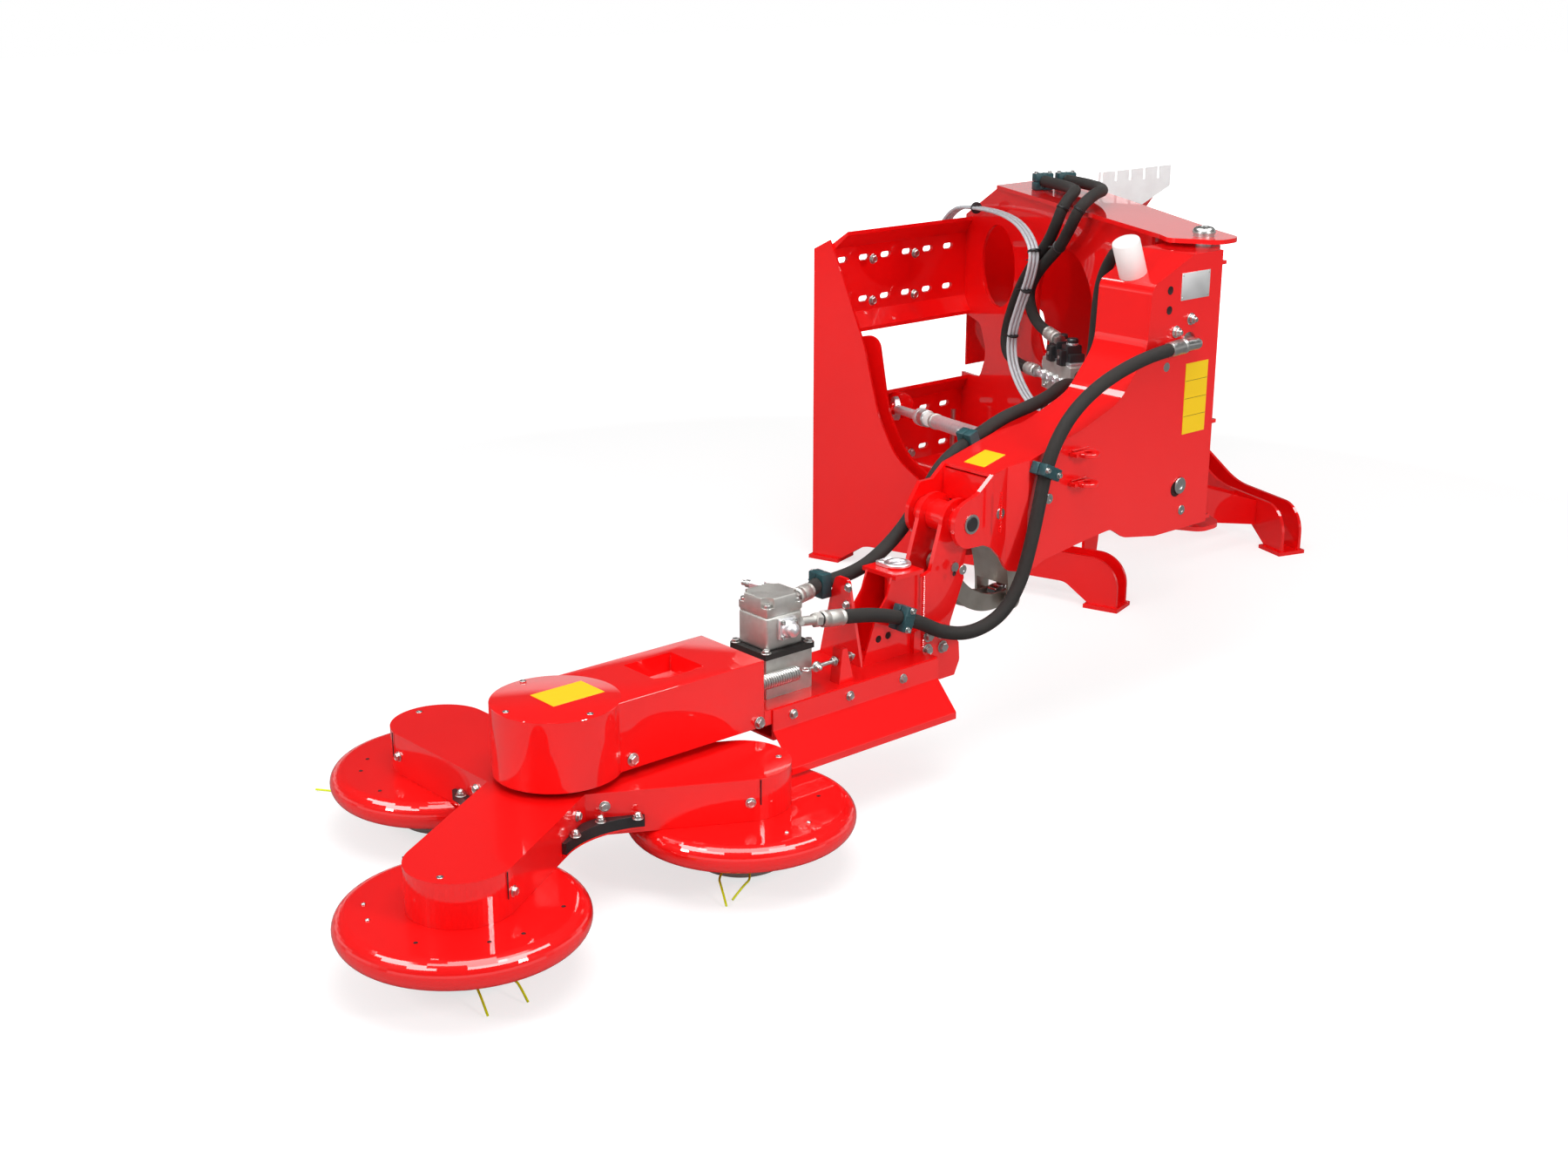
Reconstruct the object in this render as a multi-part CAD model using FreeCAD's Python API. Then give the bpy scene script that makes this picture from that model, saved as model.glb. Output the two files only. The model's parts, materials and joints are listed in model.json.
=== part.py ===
import FreeCAD, Part
import math
import os
from FreeCAD import Vector as V

# Fence trimmer: a free-turning star of three line-trimmer heads on a folding boom,
# carried by an arm that is hinged to a mounting frame.
# Millimetres. +Z is up, +X points along the boom from the star towards the frame's right side,
# +Y points towards the tractor. The origin is on the ground under the left rear foot.

# ---------------------------------------------------------------- driving dimensions
# Mounting frame, seen from above: two side plates that converge forwards, mirrored in the middle plane.
FRAME_MIDDLE_X = 760.0
SIDE_REAR_X = -14.0          # outer face of the left side plate at its rear edge
SIDE_REAR_Y = 33.0
SIDE_FRONT_X = 298.0         # outer face of the left side plate at its front edge
SIDE_FRONT_Y = -977.0
SIDE_PLATE = 10.0            # plate thickness
SIDE_GAP = 57.0              # clear space between the outer and the inner side plate
SIDE_HEIGHT = 1000.0         # top of the side plate at its rear edge
FOOT_PLATE = 12.0
FOOT_WIDTH = 100.0
LEG_TOP = 158.0
LEG_BOTTOM = 68.0

PANEL_Y = -30.0              # front face of the slotted hitch panels
PANEL_PLATE = 12.0
UPPER_PANEL_LOW = 786.0
UPPER_PANEL_HIGH = 1015.0
LOWER_PANEL_LOW = 263.0
LOWER_PANEL_HIGH = 495.0
SLOT_PITCH = 93.0
SLOT_LENGTH = 44.0
SLOT_WIDTH = 18.0
SLOT_ROW_GAP = 130.0
UPPER_SLOT_COLUMNS = 6
LOWER_SLOT_COLUMNS = 5
SLOT_START = 93.0            # from the tower wall to the first slot's middle
PANEL_LIP = 62.0             # slanted flange along each panel edge

# Hinge tower: two upright walls from the hitch panels to the vertical hinge.
TOWER_REAR_X = 606.0         # foot of the near wall at the panels
TOWER_FRONT_X = 104.0        # its front edge beside the hinge
TOWER_FRONT_Y = -1200.0
FAR_FRONT_X = 262.0          # front edge of the far wall
FAR_FRONT_Y = -1235.0
TOWER_PLATE = 10.0
TOWER_TOP = 1168.0
TOWER_LOW = 270.0
CAP_PLATE = 12.0
HINGE_X = 80.0
HINGE_Y = -1376.0
HINGE_PIN_RADIUS = 20.0
HINGE_TUBE_RADIUS = 44.0
BASE_LOW = 404.0             # underside of the frame's lower hinge plate

# Arched braces between the legs
BRACE_FRONT_Y = -817.0
BRACE_REAR_Y = -700.0

# Adjustable stay between the left side plate and the arm
STAY_EYE_RUN = 207.0         # along the side plate from its rear edge
STAY_EYE_DEPTH = 165.0       # inboard of the left side plate's outer face
STAY_EYE_Z = 487.0
STAY_ARM_X = -460.0
STAY_ARM_Z = 680.0
STAY_EYE_HALF = 24.0
STAY_PIN_RADIUS = 8.0
STAY_BALL_RADIUS = 21.0
STAY_EYE_PLAY = 3.0          # between ball and eye, for the stay's slight sideways travel
STAY_EYE_RADIUS = 38.0
STAY_LEAN = (-0.0575, 0.0339, 0.9978)    # direction of the pin at the arm
STAY_PIN_CLEARANCE = 0.3

# Arm box, its side plates bent sideways to the nose
HINGE_TO_ARM_FACE = 86.0
ARM_PLATE = 8.0
ARM_END_X = 53.0
ARM_LOW = 436.0
ARM_TOP = TOWER_TOP - 11.0
NEAR_BEND = (-652.0, -700.0)
FAR_BEND = (-500.0, -560.0)
NOSE_X = -749.0
NOSE_TOP = 696.0

# Boom fold pivot
BOOM_Y = -1350.0             # middle plane of the boom and the head
PIVOT_X = -820.0
PIVOT_Z = 588.0
CHEEK_OUT = 86.0             # outer faces of the arm's two nose cheeks, from the boom's middle plane
CHEEK_PLATE = 12.0
CHEEK_RADIUS = 58.0
PIVOT_PIN_RADIUS = 24.0
PIVOT_TUBE_RADIUS = 38.0
POST_OUT = 45.0              # outer faces of the post plates
POST_PLATE = 12.0
POST_RADIUS = 54.0
SIDE_CLEARANCE = 1.0
RUNNING_CLEARANCE = 0.1

# Fold linkage: pins as (x, z)
ROCKER_PIN = (-721.0, 596.0)
POST_PIN = (-832.0, 474.0)
LINK_PIN = (-630.0, 350.0)
CYLINDER_PIN = (-150.0, 880.0)
LINK_PIN_RADIUS = 12.0
LINK_WIDTH = 46.0
ROCKER_OUT = 57.0            # outer faces of the rocker plates, from the boom's middle plane
ROCKER_PLATE = 7.0
ROCKER_BOW = 28.0
ROCKER_WEB_LOW = 392.0
ROCKER_WEB_HIGH = 560.0
COUPLER_OUT = 28.0
COUPLER_PLATE = 8.0
COUPLER_BOW = -46.0
CYLINDER_RADIUS = 32.0
CYLINDER_ROD_RADIUS = 17.0
CYLINDER_BARREL = 480.0
BOSS_X = -980.0

# Boom beam
BEAM_HALF_WIDTH = 110.0
BEAM_LOW = 214.0
BEAM_TOP = 290.0
BEAM_WALL = 6.0
BEAM_START_X = -1488.0
BEAM_NOTCH = 26.0            # lower corner cut back so that the star's arms pass
GUARD_LOW = 153.0
BEAM_END_X = -948.0

# Belt cover over the first drive stage
STAR_X = -1990.0
COVER_LOW = 255.0
COVER_TOP = 411.0
COVER_WALL = 4.0
COVER_END_X = -1488.0
DRUM_RADIUS = 138.0
DRUM_SHIFT = 25.0

# Star with three trimmer heads
STAR_REACH = 411.0
STAR_ANGLE = -28.5
STAR_LOW = 147.0
STAR_TOP = 242.0
STAR_WALL = 4.0
STAR_END_RADIUS = 110.0
STAR_SPINDLE_RADIUS = 25.0
SHIELD_RADIUS = 250.0
SHIELD_ROLL = 31.0
SHIELD_PLATE = 4.0
SHIELD_TOP = 146.7
HEAD_RADIUS = 102.0
HEAD_HEIGHT = 62.0
HEAD_SHAFT_RADIUS = 14.0
HEADS = 3

# Hydraulic motor
MOTOR_X = -1371.0
MOTOR_LENGTH = 136.0
MOTOR_WIDTH = 117.0
MOTOR_BLOCK_TOP = 384.0
GASKET = 14.0
MOTOR_TOP = 520.0

# Hoses, cables and what holds them
HOSE_DIAMETER = 34.0
CABLE_BUNDLE = 22.0
CLAMP_FIT = 0.3              # between a hose and the clamp, plate or fitting that holds it
CLAMP_LENGTH = 30.0          # along the hose
CLAMP_SPAN = 60.0            # across the hose, between the two screws' outer sides
CLAMP_DEPTH = 50.0           # from the plate outwards
ELBOW_X = -67.0              # hose elbow through the arm's near plate
ELBOW_Z = 934.0
ELBOW_HOLE = 26.0
ELBOW_RADIUS = 15.0
MAIN_HOSE_Y = -1487.0
CAP_X = -168.0               # middle of the white cap on the arm's sloping crest
CAP_RADIUS = 48.0
CAP_HEIGHT = 88.0
COMB_HEADING = -29.2         # the coupler comb stands square to the far wall
COMB_START = (676.7, -490.2, 0)
VALVE_START = 760.0          # along the near tower wall
VALVE_LOW = 650.0
VALVE_TOP = 745.0
TENSIONER_Y = BOOM_Y - 78.0
TENSIONER_Z = 343.0
BUMPER_RADIUS = 192.0        # hollow outer side of the bumper between two star arms
BUMPER_REACH = 360.0
BUMPER_WIDTH = 30.0
BUMPER_LOW = 163.0
BUMPER_TOP = 187.0
BOSS_GUSSET_START = -1132.0  # bracket of the break-away boss on the beam's start
BOSS_PLATE_START = -1040.0
BOSS_GUSSET_TOP = 490.0
GUARD_START = -1466.0        # flap guard along the beam's near side
GUARD_END = -950.0
GUARD_BEND = 240.0
SPRING_START = -1484.0       # belt tensioner's spring, its eye and the lug it pulls on
SPRING_END = -1340.0
TENSIONER_LUG_START = -1250.0
TENSIONER_LUG_END = -1205.0

# Routes of the hoses and the cable bundle
MAIN_ROUTE = [(-118, -1487, 934), (-213, -1487, 930), (-331, -1487, 911), (-440, -1487, 878),
              (-530, -1487, 828),
              (-590, -1487, 762), (-624, -1487, 688), (-644, -1488, 600), (-668, -1488, 510), (-696, -1486, 424),
              (-750, -1478, 352), (-836, -1460, 322), (-920, -1442, 340), (-987, -1430, 381), (-1090, -1430, 418),
              (-1168, -1427, 436), (-1245, -1425, 446)]
MOTOR_ROUTE = [(-1256, -1330, 484), (-1205, -1310, 480), (-1175, -1270, 470), (-1120, -1264, 467), (-1010, -1252, 470),
               (-920, -1240, 498), (-840, -1236, 550), (-775, -1236, 622), (-715, -1237, 690), (-600, -1240, 735),
               (-510, -1244, 768), (-416, -1246, 782), (-300, -1210, 786), (-150, -1120, 780), (0, -1040, 744),
               (90, -985, 704), (150, -945, 678), (178, -910, 670), (189.7, -886.6, 670)]
TOWER_ROUTE_1 = [(523, -402, 1207), (478, -508, 1208), (430, -600, 1210), (372, -680, 1213), (304, -740, 1220),
                 (228, -766, 1192), (222, -744, 1130), (250, -694, 1075), (290, -612, 1010), (326, -530, 930),
                 (352, -470, 845), (368, -430, 760), (364, -436, 698), (336, -512, 674), (295, -604, 680)]
TOWER_ROUTE_2 = [(592, -432, 1207), (560, -510, 1209), (510, -620, 1212), (440, -720, 1216), (356, -800, 1222),
                 (262, -856, 1230), (176, -872, 1200), (184, -828, 1130), (222, -762, 1070), (268, -668, 1010),
                 (302, -594, 950), (313, -566, 900), (301, -594, 846), (274, -656, 815), (244, -724, 808)]
LOOP_ROUTE = [(189.6, -886, 716), (171, -929.3, 716), (150, -966, 790), (142, -978, 900), (146, -984, 1010),
              (124, -1044, 1096), (40, -1142, 1118), (-40, -1218, 1062), (-66, -1226, 985), (-67, -1240, 950), (-67, -1289.7, 950)]
CABLE_ROUTE = [(570, 40, 1030), (548, -20, 1086), (480, -180, 1106), (375, -395, 1118), (284, -560, 1106),
               (228, -664, 1052), (230, -650, 975), (256, -590, 880), (280, -535, 780), (276, -542, 700),
               (252, -600, 640), (222, -676, 598), (214, -735, 586), (224, -769, 602), (224, -769, 649.7)]


# ---------------------------------------------------------------- shape helpers
def outline(corners):
    """Closed face in the XY plane. A corner is (x, y) or (x, y, radius)."""
    turns = []
    for i, corner in enumerate(corners):
        point = V(corner[0], corner[1], 0)
        before = V(corners[i - 1][0], corners[i - 1][1], 0) - point
        after = corners[(i + 1) % len(corners)]
        after = V(after[0], after[1], 0) - point
        if len(corner) == 2:
            turns.append((point, None, point))
            continue
        before.normalize()
        after.normalize()
        half = before.getAngle(after) / 2
        cut = corner[2] / math.tan(half)
        inward = (before + after).normalize()
        middle = point + inward * (corner[2] / math.sin(half) - corner[2])
        turns.append((point + before * cut, middle, point + after * cut))
    edges = []
    for i, (start, middle, end) in enumerate(turns):
        if middle is not None:
            edges.append(Part.Arc(start, middle, end).toShape())
        following = turns[(i + 1) % len(turns)][0]
        if (following - end).Length > 1e-6:
            edges.append(Part.LineSegment(end, following).toShape())
    return Part.Face(Part.Wire(edges))


def flat(corners, low, high):
    """Level plate with its outline in X and Y."""
    plate = outline(corners).extrude(V(0, 0, high - low))
    plate.translate(V(0, 0, low))
    return plate


def upright(corners, near, far):
    """Upright plate with its outline in X and Z, from y = near to y = far."""
    plate = outline(corners).extrude(V(0, 0, far - near))
    plate.rotate(V(), V(1, 0, 0), 90)
    plate.translate(V(0, far, 0))
    return plate


def across(corners, left, right):
    """Upright plate with its outline in Y and Z, from x = left to x = right."""
    plate = outline(corners).extrude(V(0, 0, right - left))
    plate.rotate(V(), V(1, 1, 1), 120)
    plate.translate(V(left, 0, 0))
    return plate


def box(low, high):
    return Part.makeBox(high[0] - low[0], high[1] - low[1], high[2] - low[2], V(*low))


def rod(start, end, radius):
    start, end = V(*start), V(*end)
    return Part.makeCylinder(radius, (end - start).Length, start, end - start)


def fuse(*shapes):
    whole = shapes[0].multiFuse(list(shapes[1:]))
    return whole.removeSplitter()


def mirrored(shape):
    return shape.mirror(V(FRAME_MIDDLE_X, 0, 0), V(1, 0, 0))


def slot(centre, length, width, depth_from, depth_to):
    """Level slot cutter through a plate that faces Y."""
    x, z = centre
    reach = (length - width) / 2
    bar = box((x - reach, depth_from, z - width / 2), (x + reach, depth_to, z + width / 2))
    ends = [rod((x + side * reach, depth_from, z), (x + side * reach, depth_to, z), width / 2)
            for side in (-1, 1)]
    return bar.multiFuse(ends)


def hose(name, points, diameter):
    """Round tube along straight runs that are joined by tangent arcs."""
    points = [V(*point) for point in points]
    edges = []
    radii = []
    start = points[0]
    for i in range(1, len(points) - 1):
        corner = points[i]
        back = points[i - 1] - corner
        ahead = points[i + 1] - corner
        shorter = min(back.Length, ahead.Length)
        back.normalize()
        ahead.normalize()
        half_turn = (math.pi - back.getAngle(ahead)) / 2
        cut = 0.45 * shorter
        radius = cut / math.tan(half_turn)
        radii.append(radius)
        inward = (back + ahead).normalize()
        middle = corner + inward * (radius / math.cos(half_turn) - radius)
        enter = corner + back * cut
        leave = corner + ahead * cut
        edges.append(Part.LineSegment(start, enter).toShape())
        edges.append(Part.Arc(enter, middle, leave).toShape())
        start = leave
    edges.append(Part.LineSegment(start, points[-1]).toShape())
    path = Part.Wire(edges)
    ring = Part.Wire(Part.makeCircle(diameter / 2, points[0], points[1] - points[0]))
    tube = path.makePipeShell([ring], True, False)
    expected = path.Length * math.pi * diameter ** 2 / 4
    print(f"{name}: length {path.Length:.0f}, smallest radius {min(radii, default=0):.0f},"
          f" volume ratio {tube.Volume / expected:.4f}")
    return tube


def seat(end, before, distance):
    """Point beyond a hose's end, on the line of its last run."""
    line = (V(*end) - V(*before)).normalize()
    return tuple(V(*end) + line * distance)


def fitting(end, before):
    """Crimped sleeve that the hose ends in."""
    return rod(seat(end, before, CLAMP_FIT), seat(end, before, 44), HOSE_DIAMETER / 2)


def save(node, *solids):
    shape = solids[0] if len(solids) == 1 else Part.Compound(list(solids))
    shape.exportStep(f"parts/{node}.step")
    print(f"{node}: {len(shape.Solids)} solids, {shape.Volume / 1e3:.0f} cm3")


os.makedirs("parts", exist_ok=True)
side_run = math.hypot(SIDE_FRONT_X - SIDE_REAR_X, SIDE_FRONT_Y - SIDE_REAR_Y)
side_heading = math.degrees(math.atan2(SIDE_FRONT_Y - SIDE_REAR_Y, SIDE_FRONT_X - SIDE_REAR_X))


NEAR_WALL_START = (TOWER_REAR_X, PANEL_Y)
NEAR_WALL_END = (TOWER_FRONT_X, TOWER_FRONT_Y)


def on_side(shape):
    """Turn a piece drawn along X onto the left side plate's line; +Y there is inboard."""
    shape.rotate(V(), V(0, 0, 1), side_heading)
    shape.translate(V(SIDE_REAR_X, SIDE_REAR_Y, 0))
    return shape


# ---------------------------------------------------------------- mounting frame
def side_plates():
    leg_end = side_run
    outer = [
        (0, FOOT_PLATE), (0, SIDE_HEIGHT, 4), (55, SIDE_HEIGHT + 30), (78, 980, 60), (181, 716, 200),
        (235, 500, 260), (300, 370, 200), (465, 255, 200), (700, LEG_TOP, 300), (leg_end, LEG_TOP, 90),
        (leg_end, FOOT_PLATE), (leg_end - 90, FOOT_PLATE), (leg_end - 170, LEG_BOTTOM, 50),
        (190, LEG_BOTTOM, 80), (105, FOOT_PLATE)]
    inner = [
        (0, FOOT_PLATE), (0, 700), (195, 740, 40), (235, 500, 240), (300, 370, 200), (465, 255, 200),
        (700, LEG_TOP, 300), (leg_end, LEG_TOP, 90), (leg_end, FOOT_PLATE), (leg_end - 90, FOOT_PLATE),
        (leg_end - 170, LEG_BOTTOM, 50), (190, LEG_BOTTOM, 80), (105, FOOT_PLATE)]
    outer_plate = on_side(upright(outer, 0, SIDE_PLATE))
    inner_start = SIDE_PLATE + SIDE_GAP
    inner_plate = on_side(upright(inner, inner_start, inner_start + SIDE_PLATE))
    middle = SIDE_PLATE + SIDE_GAP / 2
    feet = [on_side(box((start, middle - FOOT_WIDTH / 2, 0), (start + 110, middle + FOOT_WIDTH / 2, FOOT_PLATE)))
            for start in (-8, leg_end - 102)]
    save("left_side_plate", outer_plate)
    save("right_side_plate", mirrored(outer_plate))
    save("inner_side_plates", inner_plate, mirrored(inner_plate))
    save("feet", *feet, *[mirrored(foot) for foot in feet])
    return inner_plate


def side_face_x(y, depth):
    """X at a given Y of the upright plane that lies a depth inboard of the left side plate's outer face."""
    along = (y - SIDE_REAR_Y) / (SIDE_FRONT_Y - SIDE_REAR_Y)
    return SIDE_REAR_X + along * (SIDE_FRONT_X - SIDE_REAR_X) + depth / math.sin(math.radians(-side_heading))


def hitch_panel(low, high, left, columns, depth):
    """Slotted panel with slanted lips, trimmed to the side plates, a depth inboard, and to the tower wall."""
    left -= PANEL_LIP
    right = TOWER_REAR_X
    web = box((left, PANEL_Y, low), (right, PANEL_Y + PANEL_PLATE, high))
    reach = PANEL_LIP * math.sin(math.radians(45))
    t = PANEL_PLATE
    upper = across([(PANEL_Y, high - t), (PANEL_Y + t, high - t), (PANEL_Y + t, high),
                    (PANEL_Y - reach, high + reach), (PANEL_Y - reach, high + reach - t)], left, right)
    lower = across([(PANEL_Y, low + t), (PANEL_Y + t, low + t), (PANEL_Y + t, low),
                    (PANEL_Y - reach, low - reach), (PANEL_Y - reach, low - reach + t)], left, right)
    middle = (low + high) / 2
    cutters = [slot((TOWER_REAR_X - SLOT_START - i * SLOT_PITCH, middle + row * SLOT_ROW_GAP / 2), SLOT_LENGTH, SLOT_WIDTH,
                    PANEL_Y - 1, PANEL_Y + PANEL_PLATE + 1)
               for i in range(columns) for row in (-1, 1)]
    panel = fuse(web, upper, lower).cut(cutters)
    side_space = on_side(box((-100, -300, 0), (side_run, depth, SIDE_HEIGHT + 100)))
    tower_space = tower_line(NEAR_WALL_START, NEAR_WALL_END, box((-200, -TOWER_PLATE, 0), (600, 400, SIDE_HEIGHT + 100)))
    return panel.cut(side_space).cut(tower_space)


def hitch_panels(far_wall):
    upper_depth, lower_depth = SIDE_PLATE, 2 * SIDE_PLATE + SIDE_GAP
    upper = hitch_panel(UPPER_PANEL_LOW, UPPER_PANEL_HIGH, side_face_x(PANEL_Y, upper_depth), UPPER_SLOT_COLUMNS,
                        upper_depth)
    lower = hitch_panel(LOWER_PANEL_LOW, LOWER_PANEL_HIGH, side_face_x(PANEL_Y, lower_depth), LOWER_SLOT_COLUMNS,
                        lower_depth)
    save("upper_left_hitch_panel", upper)
    save("lower_left_hitch_panel", lower)
    save("upper_right_hitch_panel", mirrored(upper).cut(far_wall))
    save("lower_right_hitch_panel", mirrored(lower).cut(far_wall))
    return lower


def tower_line(start, end, shape):
    """Turn a piece drawn along X onto the upright line from start to end."""
    heading = math.degrees(math.atan2(end[1] - start[1], end[0] - start[0]))
    shape.rotate(V(), V(0, 0, 1), heading)
    shape.translate(V(start[0], start[1], 0))
    return shape


def tower(inner_plate):
    near_start, near_end = NEAR_WALL_START, NEAR_WALL_END
    far_start = (2 * FRAME_MIDDLE_X - TOWER_REAR_X, PANEL_Y)
    far_end = (FAR_FRONT_X, FAR_FRONT_Y)
    near_run = math.dist(near_start, near_end)
    far_run = math.dist(far_start, far_end)
    low_front = BASE_LOW + CAP_PLATE
    shoulder = UPPER_PANEL_HIGH + 45

    def wall(run):
        return [(0, LOWER_PANEL_LOW - 45), (0, LOWER_PANEL_HIGH + 45), (150, LOWER_PANEL_HIGH + 55, 40),
                (200, 640, 60), (140, UPPER_PANEL_LOW - 60, 40), (0, UPPER_PANEL_LOW - 45), (0, shoulder),
                (240, TOWER_TOP), (run, TOWER_TOP), (run, low_front), (run * 0.55, low_front - 40, 200)]

    near = upright(wall(near_run), -TOWER_PLATE, 0)
    windows = [rod((270, -20, TOWER_TOP - 238), (270, 20, TOWER_TOP - 238), 128),
               rod((760, -20, TOWER_TOP - 308), (760, 20, TOWER_TOP - 308), 190)]
    near = tower_line(near_start, near_end, near.cut(windows))
    far = tower_line(far_start, far_end, upright(wall(far_run), 0, TOWER_PLATE))
    save("tower_near_wall", near)
    save("tower_far_wall", far)

    over = 14
    tip = [(HINGE_X - 60, HINGE_Y + 95, 30), (HINGE_X - 96, HINGE_Y + 40, 30), (HINGE_X - 30, HINGE_Y - 78, 40),
           (HINGE_X + 55, HINGE_Y - 78, 60), (HINGE_X + 108, HINGE_Y + 30, 60)]
    near_at_top = [(near_start[0] + (near_end[0] - near_start[0]) * 240 / near_run - over,
                    near_start[1] + (near_end[1] - near_start[1]) * 240 / near_run)]
    far_at_top = [(far_start[0] + (far_end[0] - far_start[0]) * 240 / far_run + over,
                   far_start[1] + (far_end[1] - far_start[1]) * 240 / far_run)]
    pin_hole = rod((HINGE_X, HINGE_Y, 0), (HINGE_X, HINGE_Y, TOWER_TOP + 100), HINGE_PIN_RADIUS)
    cap = flat(near_at_top + tip + far_at_top, TOWER_TOP, TOWER_TOP + CAP_PLATE).cut(pin_hole)
    save("tower_top_plate", cap)
    floor_rear = [(near_end[0] + 190, near_end[1] + 440), (near_end[0] - over, near_end[1])]
    floor_far = [(far_end[0] + over, far_end[1]), (far_end[0] + 250, far_end[1] + 440)]
    floor = flat(floor_rear + tip + floor_far, BASE_LOW, BASE_LOW + CAP_PLATE).cut(pin_hole).cut(near).cut(far)
    save("tower_bottom_plate", floor)
    pins = [rod((HINGE_X, HINGE_Y, TOWER_TOP - 40), (HINGE_X, HINGE_Y, TOWER_TOP + CAP_PLATE), HINGE_PIN_RADIUS),
            rod((HINGE_X, HINGE_Y, BASE_LOW), (HINGE_X, HINGE_Y, BASE_LOW + CAP_PLATE + 40), HINGE_PIN_RADIUS)]
    heads = [rod((HINGE_X, HINGE_Y, TOWER_TOP + CAP_PLATE), (HINGE_X, HINGE_Y, TOWER_TOP + CAP_PLATE + 8), 27),
             rod((HINGE_X, HINGE_Y, BASE_LOW - 8), (HINGE_X, HINGE_Y, BASE_LOW), 27)]
    save("hinge_pins", fuse(pins[0], heads[0]), fuse(pins[1], heads[1]))

    braces = []
    for y in (BRACE_FRONT_Y, BRACE_REAR_Y):
        left_x = side_face_x(y, 2 * SIDE_PLATE + SIDE_GAP)
        right_x = 2 * FRAME_MIDDLE_X - left_x
        top = BASE_LOW - 40
        arch = [(left_x, LEG_BOTTOM), (left_x, top), (left_x + 170, top), (right_x - 290, 247, 200),
                (right_x, LEG_TOP - 8), (right_x, LEG_BOTTOM), (right_x - 290, 130, 200), (left_x + 190, 262, 120),
                (left_x + 70, 230, 60), (left_x + 50, LEG_BOTTOM)]
        braces.append(upright(arch, y, y + 10).cut(inner_plate).cut(mirrored(inner_plate)))
    save("leg_braces", *braces)
    return far


def stay_lug(panel):
    lug = [(100, 476), (100, 560), (170, 530), (200, 528, 20), (246, 528, 38), (246, 446, 38), (190, 446),
           (150, 476)]
    start = STAY_EYE_DEPTH + 42
    plate = on_side(upright(lug, start, start + SIDE_PLATE)).cut(panel)
    plate = max(plate.Solids, key=lambda solid: solid.Volume)
    held = 2 * SIDE_PLATE + SIDE_GAP
    pin_shape = on_side(rod((STAY_EYE_RUN, held, STAY_EYE_Z), (STAY_EYE_RUN, start, STAY_EYE_Z), STAY_PIN_RADIUS))
    ball = on_side(Part.makeSphere(STAY_BALL_RADIUS, V(STAY_EYE_RUN, STAY_EYE_DEPTH, STAY_EYE_Z)))
    save("stay_lug", fuse(plate, pin_shape, ball))


# ---------------------------------------------------------------- arm
def bent_plate(plan_line, thickness, profile):
    """An upright plate whose outer face follows a line in plan, cut to a profile in X and Z."""
    strip = plan_line + [(x, y + thickness) for x, y in reversed(plan_line)]
    return flat([(x, y) for x, y in strip], 0, ARM_TOP + 100).common(
        upright(profile, min(y for _, y in strip) - 10, max(y for _, y in strip) + 10))


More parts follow.
